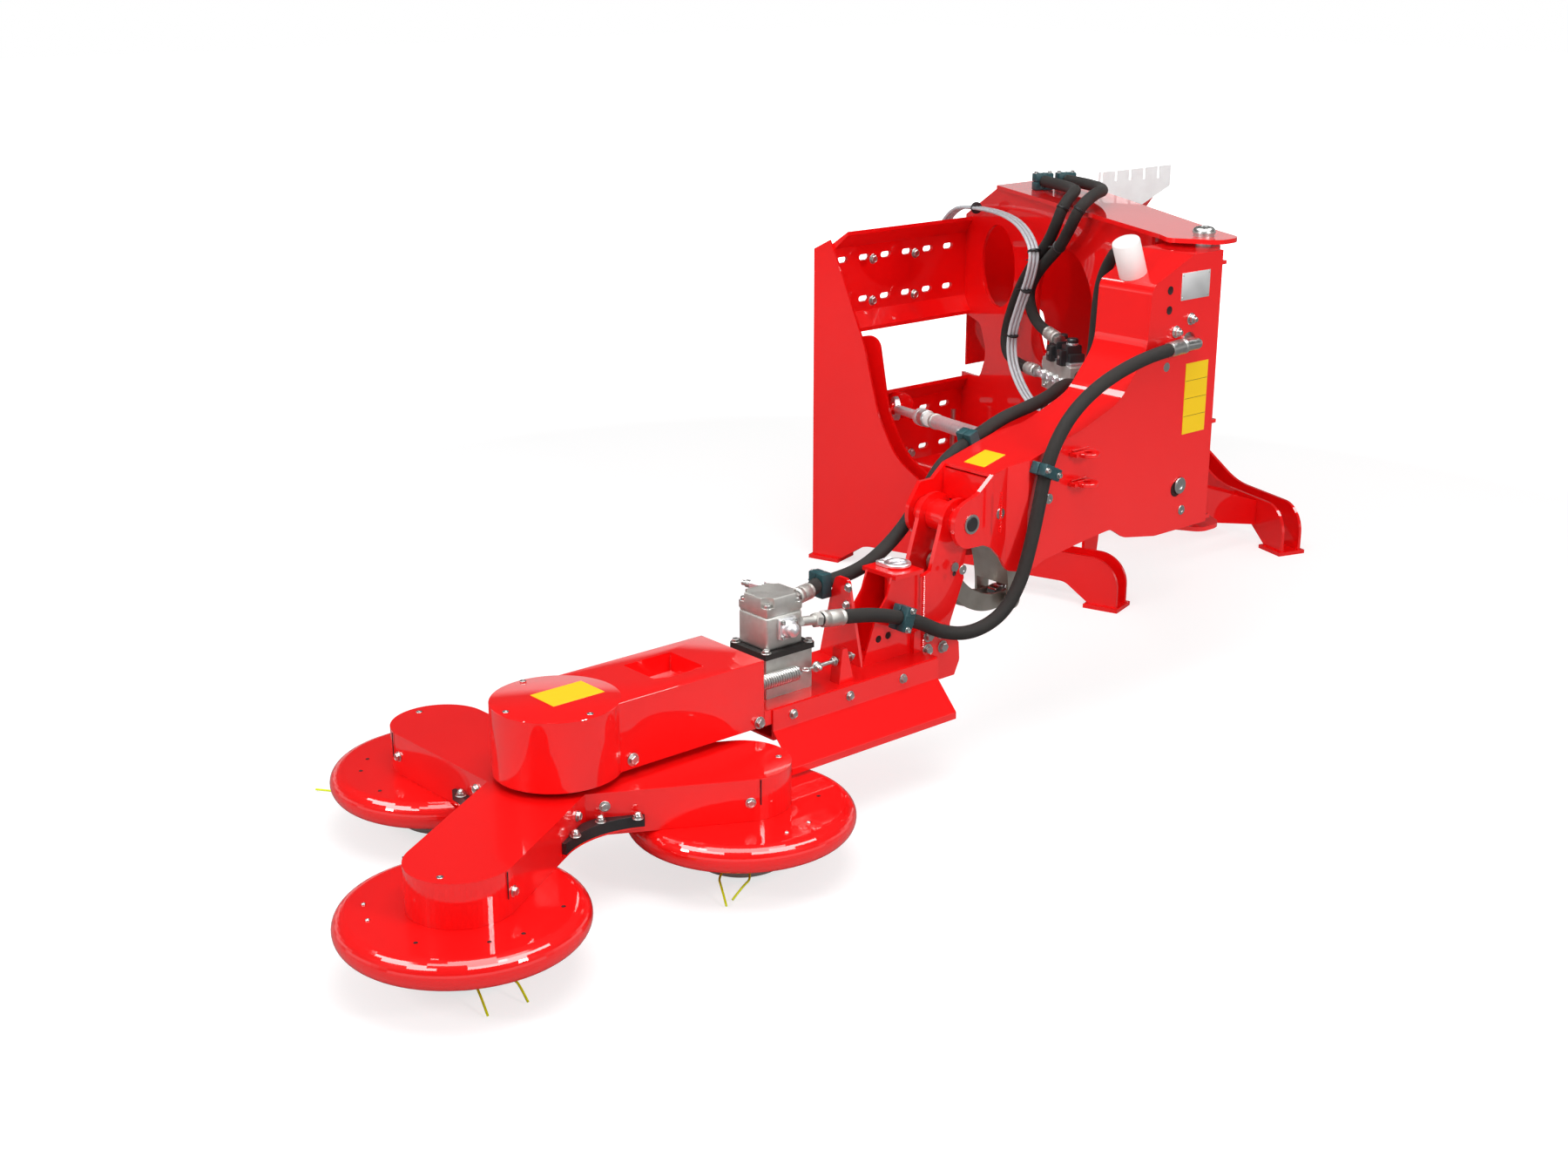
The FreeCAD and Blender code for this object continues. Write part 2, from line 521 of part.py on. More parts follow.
def arm():
    low, top = ARM_LOW, ARM_TOP
    near, far = HINGE_Y - HINGE_TO_ARM_FACE, HINGE_Y + HINGE_TO_ARM_FACE
    nose_near, nose_far = BOOM_Y - CHEEK_OUT, BOOM_Y + CHEEK_OUT
    rise = lambda share: NOSE_TOP + share * (top - NOSE_TOP)
    crest = [(ARM_END_X, top), (-64, top, 40), (-223, rise(0.855), 30), (-232, rise(0.497), 120),
             (-331, rise(0.258), 130), (-462, rise(0.156), 200), (NOSE_X, NOSE_TOP)]
    underside = [(NOSE_X, 515), (-715, 482, 30), (-692, 446, 10), (-640, 438, 30), (-584, 458, 60), (-421, 480, 60),
                 (-337, 488, 40), (-284, 456, 60), (-160, low, 60), (ARM_END_X, low)]
    profile = crest + underside
    near_line = [(ARM_END_X, near), (NEAR_BEND[0], near), (NEAR_BEND[1], nose_near), (NOSE_X, nose_near)]
    far_line = [(ARM_END_X, far), (FAR_BEND[0], far), (FAR_BEND[1], nose_far), (NOSE_X, nose_far)]
    rocker_hole = rod((ROCKER_PIN[0], near, ROCKER_PIN[1]), (ROCKER_PIN[0], nose_far, ROCKER_PIN[1]), LINK_PIN_RADIUS)
    cylinder_hole = rod((CYLINDER_PIN[0], near, CYLINDER_PIN[1]), (CYLINDER_PIN[0], far, CYLINDER_PIN[1]),
                        LINK_PIN_RADIUS)
    hose_hole = rod((-67, near, 934), (-67, near + ARM_PLATE, 934), 26)
    near_plate = bent_plate(near_line, ARM_PLATE, profile)
    save("arm_near_plate", near_plate.cut(rocker_hole).cut(cylinder_hole).cut(hose_hole))
    save("arm_far_plate", bent_plate(far_line, -ARM_PLATE, profile).cut(rocker_hole).cut(cylinder_hole))

    # Concave top flange between the plates, from the nose up to the crest
    inside = [(x, y + ARM_PLATE) for x, y in near_line] + [(x, y - ARM_PLATE) for x, y in reversed(far_line)]
    inner_crest = [(NOSE_X, NOSE_TOP - 8), (-460, rise(0.139), 192), (-325, rise(0.241), 122),
                   (-224, rise(0.484), 112), (-215, rise(0.842), 30), (-64, top - 8, 40), (ARM_END_X, top - 8)]
    flange = upright(crest + inner_crest, nose_near - 100, nose_far + 100).common(flat(inside, 0, top))
    hinge_clearance = rod((HINGE_X, HINGE_Y, low), (HINGE_X, HINGE_Y, top), HINGE_TUBE_RADIUS)
    save("arm_top_flange", flange.cut(hinge_clearance))

    nose = [(NOSE_X, NOSE_TOP), (-800, 656, 50), (PIVOT_X - CHEEK_RADIUS, 634, CHEEK_RADIUS - 2),
            (PIVOT_X - CHEEK_RADIUS, PIVOT_Z - CHEEK_RADIUS, CHEEK_RADIUS - 2), (-777, 527, 30), (NOSE_X, 515)]
    lug = [(NOSE_X, NOSE_TOP), (-775, 676), (-790, 663), (-834, 663, 8), (-872, 610, 40),
           (PIVOT_X - CHEEK_RADIUS, PIVOT_Z - CHEEK_RADIUS, CHEEK_RADIUS - 4), (-777, 527, 30), (NOSE_X, 515)]
    pin_hole = rod((PIVOT_X, nose_near, PIVOT_Z), (PIVOT_X, nose_far, PIVOT_Z), PIVOT_PIN_RADIUS)
    near_cheek = upright(nose, nose_near, nose_near + CHEEK_PLATE)
    far_cheek = upright(lug, nose_far - CHEEK_PLATE, nose_far)
    front = box((NOSE_X - 8, nose_near + CHEEK_PLATE, 612), (NOSE_X, nose_far - CHEEK_PLATE, 685))
    save("arm_nose", fuse(near_cheek, far_cheek, front).cut(pin_hole))

    tube = rod((HINGE_X, HINGE_Y, low), (HINGE_X, HINGE_Y, top), HINGE_TUBE_RADIUS)
    bore = rod((HINGE_X, HINGE_Y, low), (HINGE_X, HINGE_Y, top), HINGE_PIN_RADIUS + RUNNING_CLEARANCE)
    ribs = [box((ARM_END_X - 150, near + ARM_PLATE, z), (HINGE_X, far - ARM_PLATE, z + 10))
            for z in (low + 4, 700, top - 40)]
    save("arm_hinge_tube", fuse(tube, *ribs).cut(bore))
    save("pivot_pin", rod((PIVOT_X, nose_near - 3, PIVOT_Z), (PIVOT_X, nose_far + 3, PIVOT_Z), PIVOT_PIN_RADIUS)
         .cut(rod((PIVOT_X, nose_near - 3, PIVOT_Z), (PIVOT_X, nose_far + 3, PIVOT_Z), PIVOT_PIN_RADIUS - 6)))


# ---------------------------------------------------------------- boom
def post():
    side = [(PIVOT_X - POST_RADIUS, PIVOT_Z + POST_RADIUS, POST_RADIUS - 1),
            (PIVOT_X + POST_RADIUS, PIVOT_Z + POST_RADIUS, POST_RADIUS - 1),
            (PIVOT_X + POST_RADIUS, PIVOT_Z - 30, 40), (-793, 505, 20), (-803, 465, 20), (-798, 440, 10),
            (-842, 335, 20), (-842, BEAM_LOW), (BEAM_END_X, BEAM_LOW), (BEAM_END_X, 470), (-912, 480),
            (-878, PIVOT_Z, 100)]
    near = upright(side, BOOM_Y - POST_OUT, BOOM_Y - POST_OUT + POST_PLATE)
    far = upright(side, BOOM_Y + POST_OUT - POST_PLATE, BOOM_Y + POST_OUT)
    reach = CHEEK_OUT - CHEEK_PLATE - SIDE_CLEARANCE
    tube = rod((PIVOT_X, BOOM_Y - reach, PIVOT_Z), (PIVOT_X, BOOM_Y + reach, PIVOT_Z), PIVOT_TUBE_RADIUS)
    bore = rod((PIVOT_X, BOOM_Y - 200, PIVOT_Z), (PIVOT_X, BOOM_Y + 200, PIVOT_Z),
               PIVOT_PIN_RADIUS + RUNNING_CLEARANCE)
    web = box((BEAM_END_X, BOOM_Y - POST_OUT + POST_PLATE, BEAM_LOW),
              (BEAM_END_X + 12, BOOM_Y + POST_OUT - POST_PLATE, 470))
    link_hole = rod((POST_PIN[0], BOOM_Y - 200, POST_PIN[1]), (POST_PIN[0], BOOM_Y + 200, POST_PIN[1]),
                    LINK_PIN_RADIUS)
    save("boom_post", fuse(near, far, tube, web).cut(bore).cut(link_hole))


def beam():
    outer = box((BEAM_START_X, BOOM_Y - BEAM_HALF_WIDTH, BEAM_LOW), (BEAM_END_X, BOOM_Y + BEAM_HALF_WIDTH, BEAM_TOP))
    inner = box((BEAM_START_X - 1, BOOM_Y - BEAM_HALF_WIDTH + BEAM_WALL, BEAM_LOW + BEAM_WALL),
                (BEAM_END_X + 1, BOOM_Y + BEAM_HALF_WIDTH - BEAM_WALL, BEAM_TOP - BEAM_WALL))
    star_sweep = box((BEAM_START_X - 1, BOOM_Y - 200, BEAM_LOW - 1), (BEAM_START_X + BEAM_NOTCH, BOOM_Y + 200, COVER_LOW))
    save("boom_beam", outer.cut(inner).cut(star_sweep))


def belt_cover():
    near, far = BOOM_Y - BEAM_HALF_WIDTH, BOOM_Y + BEAM_HALF_WIDTH

    def body(inset, low, high):
        block = box((STAR_X + DRUM_SHIFT, near + inset, low), (COVER_END_X - inset, far - inset, high))
        drum = rod((STAR_X + DRUM_SHIFT, BOOM_Y, low), (STAR_X + DRUM_SHIFT, BOOM_Y, high), DRUM_RADIUS - inset)
        return block.fuse(drum)

    cover = body(0, COVER_LOW, COVER_TOP).cut(body(COVER_WALL, COVER_LOW + COVER_WALL, COVER_TOP - COVER_WALL))
    shaft = rod((STAR_X, BOOM_Y, COVER_LOW - 1), (STAR_X, BOOM_Y, COVER_LOW + 20), STAR_SPINDLE_RADIUS + 0.1)
    save("belt_cover", cover.removeSplitter().cut(shaft))


def motor():
    half_l, half_w = MOTOR_LENGTH / 2, MOTOR_WIDTH / 2
    housing = box((MOTOR_X - half_l, BOOM_Y - half_w, BEAM_TOP), (MOTOR_X + half_l, BOOM_Y + half_w, MOTOR_BLOCK_TOP))
    gasket = box((MOTOR_X - half_l - 4, BOOM_Y - half_w - 4, MOTOR_BLOCK_TOP),
                 (MOTOR_X + half_l + 4, BOOM_Y + half_w + 4, MOTOR_BLOCK_TOP + GASKET))
    body = box((MOTOR_X - half_l + 10, BOOM_Y - half_w + 8, MOTOR_BLOCK_TOP + GASKET),
               (MOTOR_X + half_l - 20, BOOM_Y + half_w - 8, MOTOR_TOP))
    save("gear_housing", housing)
    save("motor_gasket", gasket)
    port = (MOTOR_X - 4, BOOM_Y - half_w - 18, 446)
    near_port = fuse(box((port[0] - 24, BOOM_Y - half_w - 4, port[2] - 24), (port[0] + 24, BOOM_Y - half_w + 12, port[2] + 24)),
                     rod((port[0], BOOM_Y - half_w, port[2]), port, 17), Part.makeSphere(17, V(*port)),
                     rod(port, seat(MAIN_ROUTE[-1], MAIN_ROUTE[-2], 30), 12), fitting(MAIN_ROUTE[-1], MAIN_ROUTE[-2]))
    inlet = seat(MOTOR_ROUTE[0], MOTOR_ROUTE[1], 30)
    far_port = fuse(rod((MOTOR_X + half_l - 22, inlet[1], inlet[2]), inlet, 12), fitting(MOTOR_ROUTE[0], MOTOR_ROUTE[1]))
    save("hydraulic_motor", fuse(body, near_port, far_port))


# ---------------------------------------------------------------- star
def star():
    def arm_block(inset, low, high, k):
        reach = STAR_REACH
        bar = box((0, -STAR_END_RADIUS + inset, low), (reach, STAR_END_RADIUS - inset, high))
        end = rod((reach, 0, low), (reach, 0, high), STAR_END_RADIUS - inset)
        arm = bar.fuse(end)
        arm.rotate(V(), V(0, 0, 1), STAR_ANGLE + 120 * k)
        return arm

    def body(inset, low, high):
        arms = [arm_block(inset, low, high, k) for k in range(HEADS)]
        return arms[0].multiFuse(arms[1:])

    cover = body(0, STAR_LOW, STAR_TOP).cut(body(STAR_WALL, STAR_LOW + STAR_WALL, STAR_TOP - STAR_WALL))
    holes = []
    for k in range(HEADS):
        angle = math.radians(STAR_ANGLE + 120 * k)
        x, y = STAR_REACH * math.cos(angle), STAR_REACH * math.sin(angle)
        holes.append(rod((x, y, STAR_LOW - 1), (x, y, STAR_LOW + 30), HEAD_SHAFT_RADIUS + 0.1))
    cover = cover.cut(holes)
    hub = rod((0, 0, STAR_TOP - STAR_WALL), (0, 0, COVER_LOW + 16), STAR_SPINDLE_RADIUS)
    solid_star = body(-CLAMP_FIT, BUMPER_LOW - 40, BUMPER_TOP + 40)

    def crescent(k, low, high):
        angle = math.radians(STAR_ANGLE - 60 + 120 * k)
        x, y = BUMPER_REACH * math.cos(angle), BUMPER_REACH * math.sin(angle)
        ring = rod((x, y, low), (x, y, high), BUMPER_RADIUS + BUMPER_WIDTH).cut(rod((x, y, low), (x, y, high), BUMPER_RADIUS))
        wedge = flat([(x, y), (x - 400 * math.cos(angle - 0.55), y - 400 * math.sin(angle - 0.55)),
                      (x - 400 * math.cos(angle + 0.55), y - 400 * math.sin(angle + 0.55))], low, high)
        return ring.common(wedge)

    ledges = [crescent(k, BUMPER_LOW - 4 - CLAMP_FIT, BUMPER_LOW - CLAMP_FIT) for k in range(HEADS)]
    hollow = body(STAR_WALL, STAR_LOW + STAR_WALL, STAR_TOP - STAR_WALL)
    cover = fuse(cover, hub, *[ledge.cut(hollow) for ledge in ledges])
    cover.translate(V(STAR_X, BOOM_Y, 0))
    save("star_cover", cover)
    bumpers = [crescent(k, BUMPER_LOW, BUMPER_TOP).cut(solid_star) for k in range(HEADS)]
    for bumper in bumpers:
        bumper.translate(V(STAR_X, BOOM_Y, 0))
    save("star_bumpers", *bumpers)

    roll_centre = SHIELD_RADIUS - SHIELD_ROLL
    mid_z = SHIELD_TOP - SHIELD_ROLL
    inner = SHIELD_ROLL - SHIELD_PLATE
    outer_arc = Part.Arc(V(roll_centre, 0, SHIELD_TOP), V(SHIELD_RADIUS, 0, mid_z), V(roll_centre, 0, mid_z - SHIELD_ROLL))
    inner_arc = Part.Arc(V(roll_centre, 0, mid_z - inner), V(roll_centre + inner, 0, mid_z),
                         V(roll_centre, 0, SHIELD_TOP - SHIELD_PLATE))
    start = HEAD_SHAFT_RADIUS + 4
    wire = Part.Wire([
        outer_arc.toShape(),
        Part.LineSegment(V(roll_centre, 0, mid_z - SHIELD_ROLL), V(roll_centre, 0, mid_z - inner)).toShape(),
        inner_arc.toShape(),
        Part.LineSegment(V(roll_centre, 0, SHIELD_TOP - SHIELD_PLATE), V(start, 0, SHIELD_TOP - SHIELD_PLATE)).toShape(),
        Part.LineSegment(V(start, 0, SHIELD_TOP - SHIELD_PLATE), V(start, 0, SHIELD_TOP)).toShape(),
        Part.LineSegment(V(start, 0, SHIELD_TOP), V(roll_centre, 0, SHIELD_TOP)).toShape()])
    shield = Part.Face(wire).revolve(V(), V(0, 0, 1), 360)
    dish = rod((0, 0, 0), (0, 0, HEAD_HEIGHT), HEAD_RADIUS)
    shaft = rod((0, 0, HEAD_HEIGHT), (0, 0, STAR_LOW + 20), HEAD_SHAFT_RADIUS)
    head = dish.fuse(shaft).removeSplitter()
    shields = []
    heads = []
    for k in range(HEADS):
        angle = math.radians(STAR_ANGLE + 120 * k)
        place = V(STAR_X + STAR_REACH * math.cos(angle), BOOM_Y + STAR_REACH * math.sin(angle), 0)
        for copies, shape in ((shields, shield), (heads, head)):
            piece = shape.copy()
            piece.translate(place)
            copies.append(piece)
        save(f"trimmer_head_{k + 1}", heads[-1])
    save("shields", *shields)


# ---------------------------------------------------------------- fold linkage
def bowed_bar(start, end, width, bow):
    """Outline in X and Z of a bar with round eyes and a bow towards +X or down, and its middle point."""
    start, end = V(start[0], 0, start[1]), V(end[0], 0, end[1])
    along = (end - start).normalize()
    side = along.cross(V(0, 1, 0)).normalize()
    middle = (start + end) * 0.5 + side * bow
    radius = width / 2
    arcs = []
    for sign in (1, -1):
        points = [start + side * sign * radius, middle + side * sign * radius, end + side * sign * radius]
        arcs.append(points)
    edges = [Part.Arc(*arcs[0]).toShape(),
             Part.Arc(arcs[0][2], end + along * radius, arcs[1][2]).toShape(),
             Part.Arc(arcs[1][2], arcs[1][1], arcs[1][0]).toShape(),
             Part.Arc(arcs[1][0], start - along * radius, arcs[0][0]).toShape()]
    return Part.Face(Part.Wire(edges))


def between(face, near, far):
    """An outline in X and Z given thickness from Y = near to Y = far."""
    solid = face.extrude(V(0, far - near, 0))
    solid.translate(V(0, near, 0))
    return solid


def pin(place, radius, near, far):
    return rod((place[0], near, place[1]), (place[0], far, place[1]), radius)


def pair(shape):
    """A shape beside the boom's middle plane and its mirror image."""
    return shape, shape.mirror(V(0, BOOM_Y, 0), V(0, 1, 0))


def fold_linkage():
    bar = bowed_bar(ROCKER_PIN, LINK_PIN, LINK_WIDTH, ROCKER_BOW)
    near = between(bar, BOOM_Y - ROCKER_OUT, BOOM_Y - ROCKER_OUT + ROCKER_PLATE)
    stub = pin(LINK_PIN, 11, BOOM_Y - ROCKER_OUT - 5, BOOM_Y - COUPLER_OUT - 5)
    solid_bar = between(bar, BOOM_Y - ROCKER_OUT, BOOM_Y + ROCKER_OUT)
    inside = between(bowed_bar(ROCKER_PIN, LINK_PIN, LINK_WIDTH, ROCKER_BOW + 6), BOOM_Y - 100, BOOM_Y + 100)
    window = box((-760, BOOM_Y - 100, ROCKER_WEB_LOW), (-560, BOOM_Y + 100, ROCKER_WEB_HIGH))
    web = solid_bar.cut(inside).common(window)
    web = max(web.Solids, key=lambda solid: -solid.CenterOfMass.x)
    hole = pin(ROCKER_PIN, LINK_PIN_RADIUS + RUNNING_CLEARANCE, BOOM_Y - 100, BOOM_Y + 100)
    save("fold_rocker", fuse(*pair(near), *pair(stub), web).cut(hole))
    coupler = between(bowed_bar(POST_PIN, LINK_PIN, LINK_WIDTH, COUPLER_BOW), BOOM_Y - COUPLER_OUT,
                      BOOM_Y - COUPLER_OUT + COUPLER_PLATE)
    hole = pin(POST_PIN, LINK_PIN_RADIUS + RUNNING_CLEARANCE, BOOM_Y - 100, BOOM_Y + 100)
    save("fold_link", *[side.cut(hole) for side in pair(coupler)])
    save("link_pin", pin(POST_PIN, LINK_PIN_RADIUS, BOOM_Y - POST_OUT - 3, BOOM_Y + POST_OUT + 3))


def fold_cylinder():
    base = V(CYLINDER_PIN[0], BOOM_Y, CYLINDER_PIN[1])
    tip = V(LINK_PIN[0], BOOM_Y, LINK_PIN[1])
    line = (tip - base).normalize()
    at = lambda distance: tuple(base + line * distance)
    barrel = rod(at(22), at(CYLINDER_BARREL), CYLINDER_RADIUS)
    eye = rod((base.x, BOOM_Y - 22, base.z), (base.x, BOOM_Y + 22, base.z), 30)
    bore = rod(at(60), at(CYLINDER_BARREL + 1), CYLINDER_RADIUS - 6)
    gland = rod(at(CYLINDER_BARREL - 40), at(CYLINDER_BARREL), CYLINDER_RADIUS - 5)
    rod_hole = rod(at(60), at(CYLINDER_BARREL + 1), CYLINDER_ROD_RADIUS + RUNNING_CLEARANCE)
    pin_hole = rod((base.x, BOOM_Y - 30, base.z), (base.x, BOOM_Y + 30, base.z), LINK_PIN_RADIUS + RUNNING_CLEARANCE)
    body = barrel.fuse(eye).cut(bore).fuse(gland).cut(rod_hole).cut(pin_hole)
    save("fold_cylinder_barrel", body)
    reach = (tip - base).Length
    shaft = rod(at(reach - 445), at(reach - 20), CYLINDER_ROD_RADIUS)
    rod_eye = rod((tip.x, BOOM_Y - 13, tip.z), (tip.x, BOOM_Y + 13, tip.z), 27)
    save("fold_cylinder_rod", shaft.fuse(rod_eye).removeSplitter())
    save("arm_pins", pin(ROCKER_PIN, LINK_PIN_RADIUS, BOOM_Y - CHEEK_OUT, BOOM_Y + CHEEK_OUT),
         rod((base.x, HINGE_Y - HINGE_TO_ARM_FACE, base.z), (base.x, HINGE_Y + HINGE_TO_ARM_FACE, base.z),
             LINK_PIN_RADIUS))


# ---------------------------------------------------------------- stay
def stay():
    eye = on_side(Part.Vertex(STAY_EYE_RUN, STAY_EYE_DEPTH, STAY_EYE_Z)).Point
    arm_y = HINGE_Y + HINGE_TO_ARM_FACE + 45
    anchor = V(STAY_ARM_X, arm_y, STAY_ARM_Z)
    line = (eye - anchor).normalize()
    reach = (eye - anchor).Length
    at = lambda distance: tuple(anchor + line * distance)
    sleeve = rod(at(16), at(reach - 330), 21).fuse(rod(at(reach - 360), at(reach - 330), 27))
    bore = rod(at(60), at(reach), 14 + RUNNING_CLEARANCE)
    lean = V(*STAY_LEAN).normalize()
    up = lambda height: tuple(anchor + lean * height)
    knuckle = rod(up(-STAY_EYE_HALF), up(STAY_EYE_HALF), 30)
    hole = rod(up(-60), up(60), 12 + STAY_PIN_CLEARANCE)
    save("stay_sleeve", fuse(sleeve, knuckle).cut(bore).cut(hole))
    screw = rod(at(reach - 560), at(reach - 34), 14)
    level = V(line.x, line.y, 0).cross(V(0, 0, 1)).normalize()
    ring = rod(tuple(eye - level * 8), tuple(eye + level * 8), STAY_EYE_RADIUS)
    opening = rod(tuple(eye - level * 20), tuple(eye + level * 20), STAY_BALL_RADIUS + STAY_EYE_PLAY)
    save("stay_screw", screw.fuse(ring).cut(opening).removeSplitter())
    far = HINGE_Y + HINGE_TO_ARM_FACE
    ears = [box((STAY_ARM_X - 35, far, z), (STAY_ARM_X + 35, arm_y + 16, z + 10))
            for z in (STAY_ARM_Z - STAY_EYE_HALF - 14, STAY_ARM_Z + STAY_EYE_HALF + 4)]
    save("arm_stay_ears", fuse(*ears, rod(up(-STAY_EYE_HALF - 20), up(STAY_EYE_HALF + 20), 12)))


def boom_brackets():
    corners = [(-975, 345, 8), (-871, 342, 8), (-822, 284), (-818, 238, 20), (-835, 202), (-886, 202),
               (BEAM_END_X + 4, 240), (BEAM_END_X + 4, BEAM_TOP), (-975, BEAM_TOP)]
    near = BOOM_Y - POST_OUT
    plate = upright(corners, near - 12, near)
    lip = box((-930, near - 12, BEAM_LOW - 10), (-845, BOOM_Y + POST_OUT, BEAM_LOW))
    save("post_side_bracket", fuse(plate, lip))

    half = POST_OUT
    gusset = [(BOSS_GUSSET_START, BEAM_TOP), (BOSS_GUSSET_START + 43, BOSS_GUSSET_TOP - 88),
              (BOSS_PLATE_START - 15, BOSS_GUSSET_TOP - 44, 20), (BOSS_PLATE_START, BOSS_GUSSET_TOP),
              (BEAM_END_X, BOSS_GUSSET_TOP), (BEAM_END_X, BEAM_TOP)]
    near_gusset = upright(gusset, BOOM_Y - half, BOOM_Y - half + 6)
    far_gusset = upright(gusset, BOOM_Y + half - 6, BOOM_Y + half)
    top = box((BOSS_PLATE_START, BOOM_Y - half - 12, BOSS_GUSSET_TOP - 4),
              (BEAM_END_X, BOOM_Y + half + 12, BOSS_GUSSET_TOP + 6))
    boss = rod((BOSS_X, BOOM_Y, BEAM_TOP), (BOSS_X, BOOM_Y, BOSS_GUSSET_TOP + 10), 30)
    ear = across([(BOOM_Y - half, BEAM_TOP), (BOOM_Y + 100, BEAM_TOP), (BOOM_Y + 62, 450), (BOOM_Y + 45, 495, 15),
                  (BOOM_Y + 2, 495, 15), (BOOM_Y - 12, 430)], BOSS_GUSSET_START - 4, BOSS_GUSSET_START + 4)
    save("boss_bracket", fuse(near_gusset, far_gusset, top, boss, ear))

    edge = BOOM_Y - BEAM_HALF_WIDTH
    t = 4
    profile = [(edge, BEAM_TOP - 2), (edge - t, BEAM_TOP - 2), (edge - t, GUARD_BEND - 2, 6),
               (edge - 68, GUARD_BEND - 70, 6), (edge - 68, GUARD_LOW), (edge - 64, GUARD_LOW),
               (edge - 64, GUARD_BEND - 68, 6), (edge, GUARD_BEND, 6)]
    guard = across(profile, GUARD_START, GUARD_END)
    save("flap_guard", guard)

    y, z = TENSIONER_Y, TENSIONER_Z
    bolt = rod((SPRING_END, y, z), (TENSIONER_LUG_END + 15, y, z), 6)
    lug = upright([(TENSIONER_LUG_START, BEAM_TOP), (TENSIONER_LUG_START + 10, z + 29),
                   (TENSIONER_LUG_END - 21, z + 29), (TENSIONER_LUG_END, BEAM_TOP)], y - 16, y + 16)
    hole = rod((TENSIONER_LUG_START - 50, y, z), (TENSIONER_LUG_END + 55, y, z), 6 + CLAMP_FIT)
    save("tensioner_lug", lug.cut(hole))
    spring = rod((SPRING_START, y, z), (SPRING_END, y, z), 15)
    nut = rod((TENSIONER_LUG_END + 1 + CLAMP_FIT, y, z), (TENSIONER_LUG_END + 11, y, z), 11)
    eye = rod((SPRING_END - 12, y - 5, z), (SPRING_END - 12, y + 5, z), 14)
    save("belt_tensioner", fuse(spring, eye, bolt, nut))


# ---------------------------------------------------------------- hoses and fittings
def on_near_wall(shape):
    """Place a piece drawn along X on the near tower wall; -Y there is the wall's outer side."""
    return tower_line(NEAR_WALL_START, NEAR_WALL_END, shape)


def clamp(middle, hose_line, outwards):
    """Two-bolt block round a hose. The block starts at the plate and is drawn along the hose's line."""
    middle, along = V(*middle), V(*hose_line).normalize()
    outwards = V(*outwards)
    across_line = along.cross(outwards).normalize()
    corner = middle - along * CLAMP_LENGTH / 2 - across_line * CLAMP_SPAN / 2 - outwards * CLAMP_DEPTH / 2
    base = Part.makePolygon([corner, corner + along * CLAMP_LENGTH,
                             corner + along * CLAMP_LENGTH + across_line * CLAMP_SPAN,
                             corner + across_line * CLAMP_SPAN, corner])
    return Part.Face(base).extrude(outwards * CLAMP_DEPTH)


def fittings():
    along = on_near_wall(fuse(
        box((VALVE_START, -75, VALVE_LOW), (VALVE_START + 190, -TOWER_PLATE, VALVE_TOP)),
        box((VALVE_START + 30, -68, VALVE_TOP), (VALVE_START + 170, -18, VALVE_TOP + 30)),
        rod((VALVE_START + 70, -44, VALVE_TOP + 30), (VALVE_START + 70, -44, VALVE_TOP + 74), 21),
        rod((VALVE_START + 140, -44, VALVE_TOP + 30), (VALVE_START + 140, -44, VALVE_TOP + 74), 21),
        rod((VALVE_START - 50, -44, VALVE_TOP - 32), (VALVE_START, -44, VALVE_TOP - 32), 23),
        rod((VALVE_START - 96, -60, 680), (VALVE_START + 5, -60, 684), 13),
        rod((VALVE_START + 31, -57, 806), (VALVE_START + 60, -46, 806), 12)))
    save("valve_block", along)

    rod_y = PANEL_Y - 44 - 9 - CLAMP_FIT
    save("locking_rod", rod((503, rod_y, 190), (503, rod_y, 434), 9))

    comb = [(0, 1112), (0, 1160), (17, 1163), (17, 1226), (60, 1228), (252, 1244), (252, 1180), (160, 1122)]
    plate = upright(comb, 0, 4)
    for i in range(5):
        plate = plate.cut(box((24 + 46 * i, -1, 1196 + 2 * i), (31 + 46 * i, 5, 1260)))
    plate.rotate(V(), V(0, 0, 1), COMB_HEADING)
    plate.translate(V(*COMB_START))
    save("coupler_holder", plate)

    slope = math.atan2(66.8, 159)
    normal = V(-math.sin(slope), 0, math.cos(slope))
    foot = V(CAP_X, HINGE_Y, ARM_TOP - (-64 - CAP_X) * math.tan(slope)) + normal * CLAMP_FIT
    save("reservoir_cap", rod(tuple(foot), tuple(foot + normal * CAP_HEIGHT), CAP_RADIUS))

    near_face = HINGE_Y - HINGE_TO_ARM_FACE
    elbow = fuse(rod((ELBOW_X, near_face + ARM_PLATE + 9, ELBOW_Z), (ELBOW_X, MAIN_HOSE_Y, ELBOW_Z), ELBOW_RADIUS),
                 Part.makeSphere(ELBOW_RADIUS, V(ELBOW_X, MAIN_HOSE_Y, ELBOW_Z)),
                 rod((ELBOW_X, MAIN_HOSE_Y, ELBOW_Z), (MAIN_ROUTE[0][0] + 1, MAIN_HOSE_Y, ELBOW_Z), ELBOW_RADIUS),
                 rod((ELBOW_X, near_face + ARM_PLATE + CLAMP_FIT, ELBOW_Z), (ELBOW_X, near_face + ARM_PLATE + 9, ELBOW_Z),
                     ELBOW_HOLE + 8))
    save("arm_elbow", elbow)


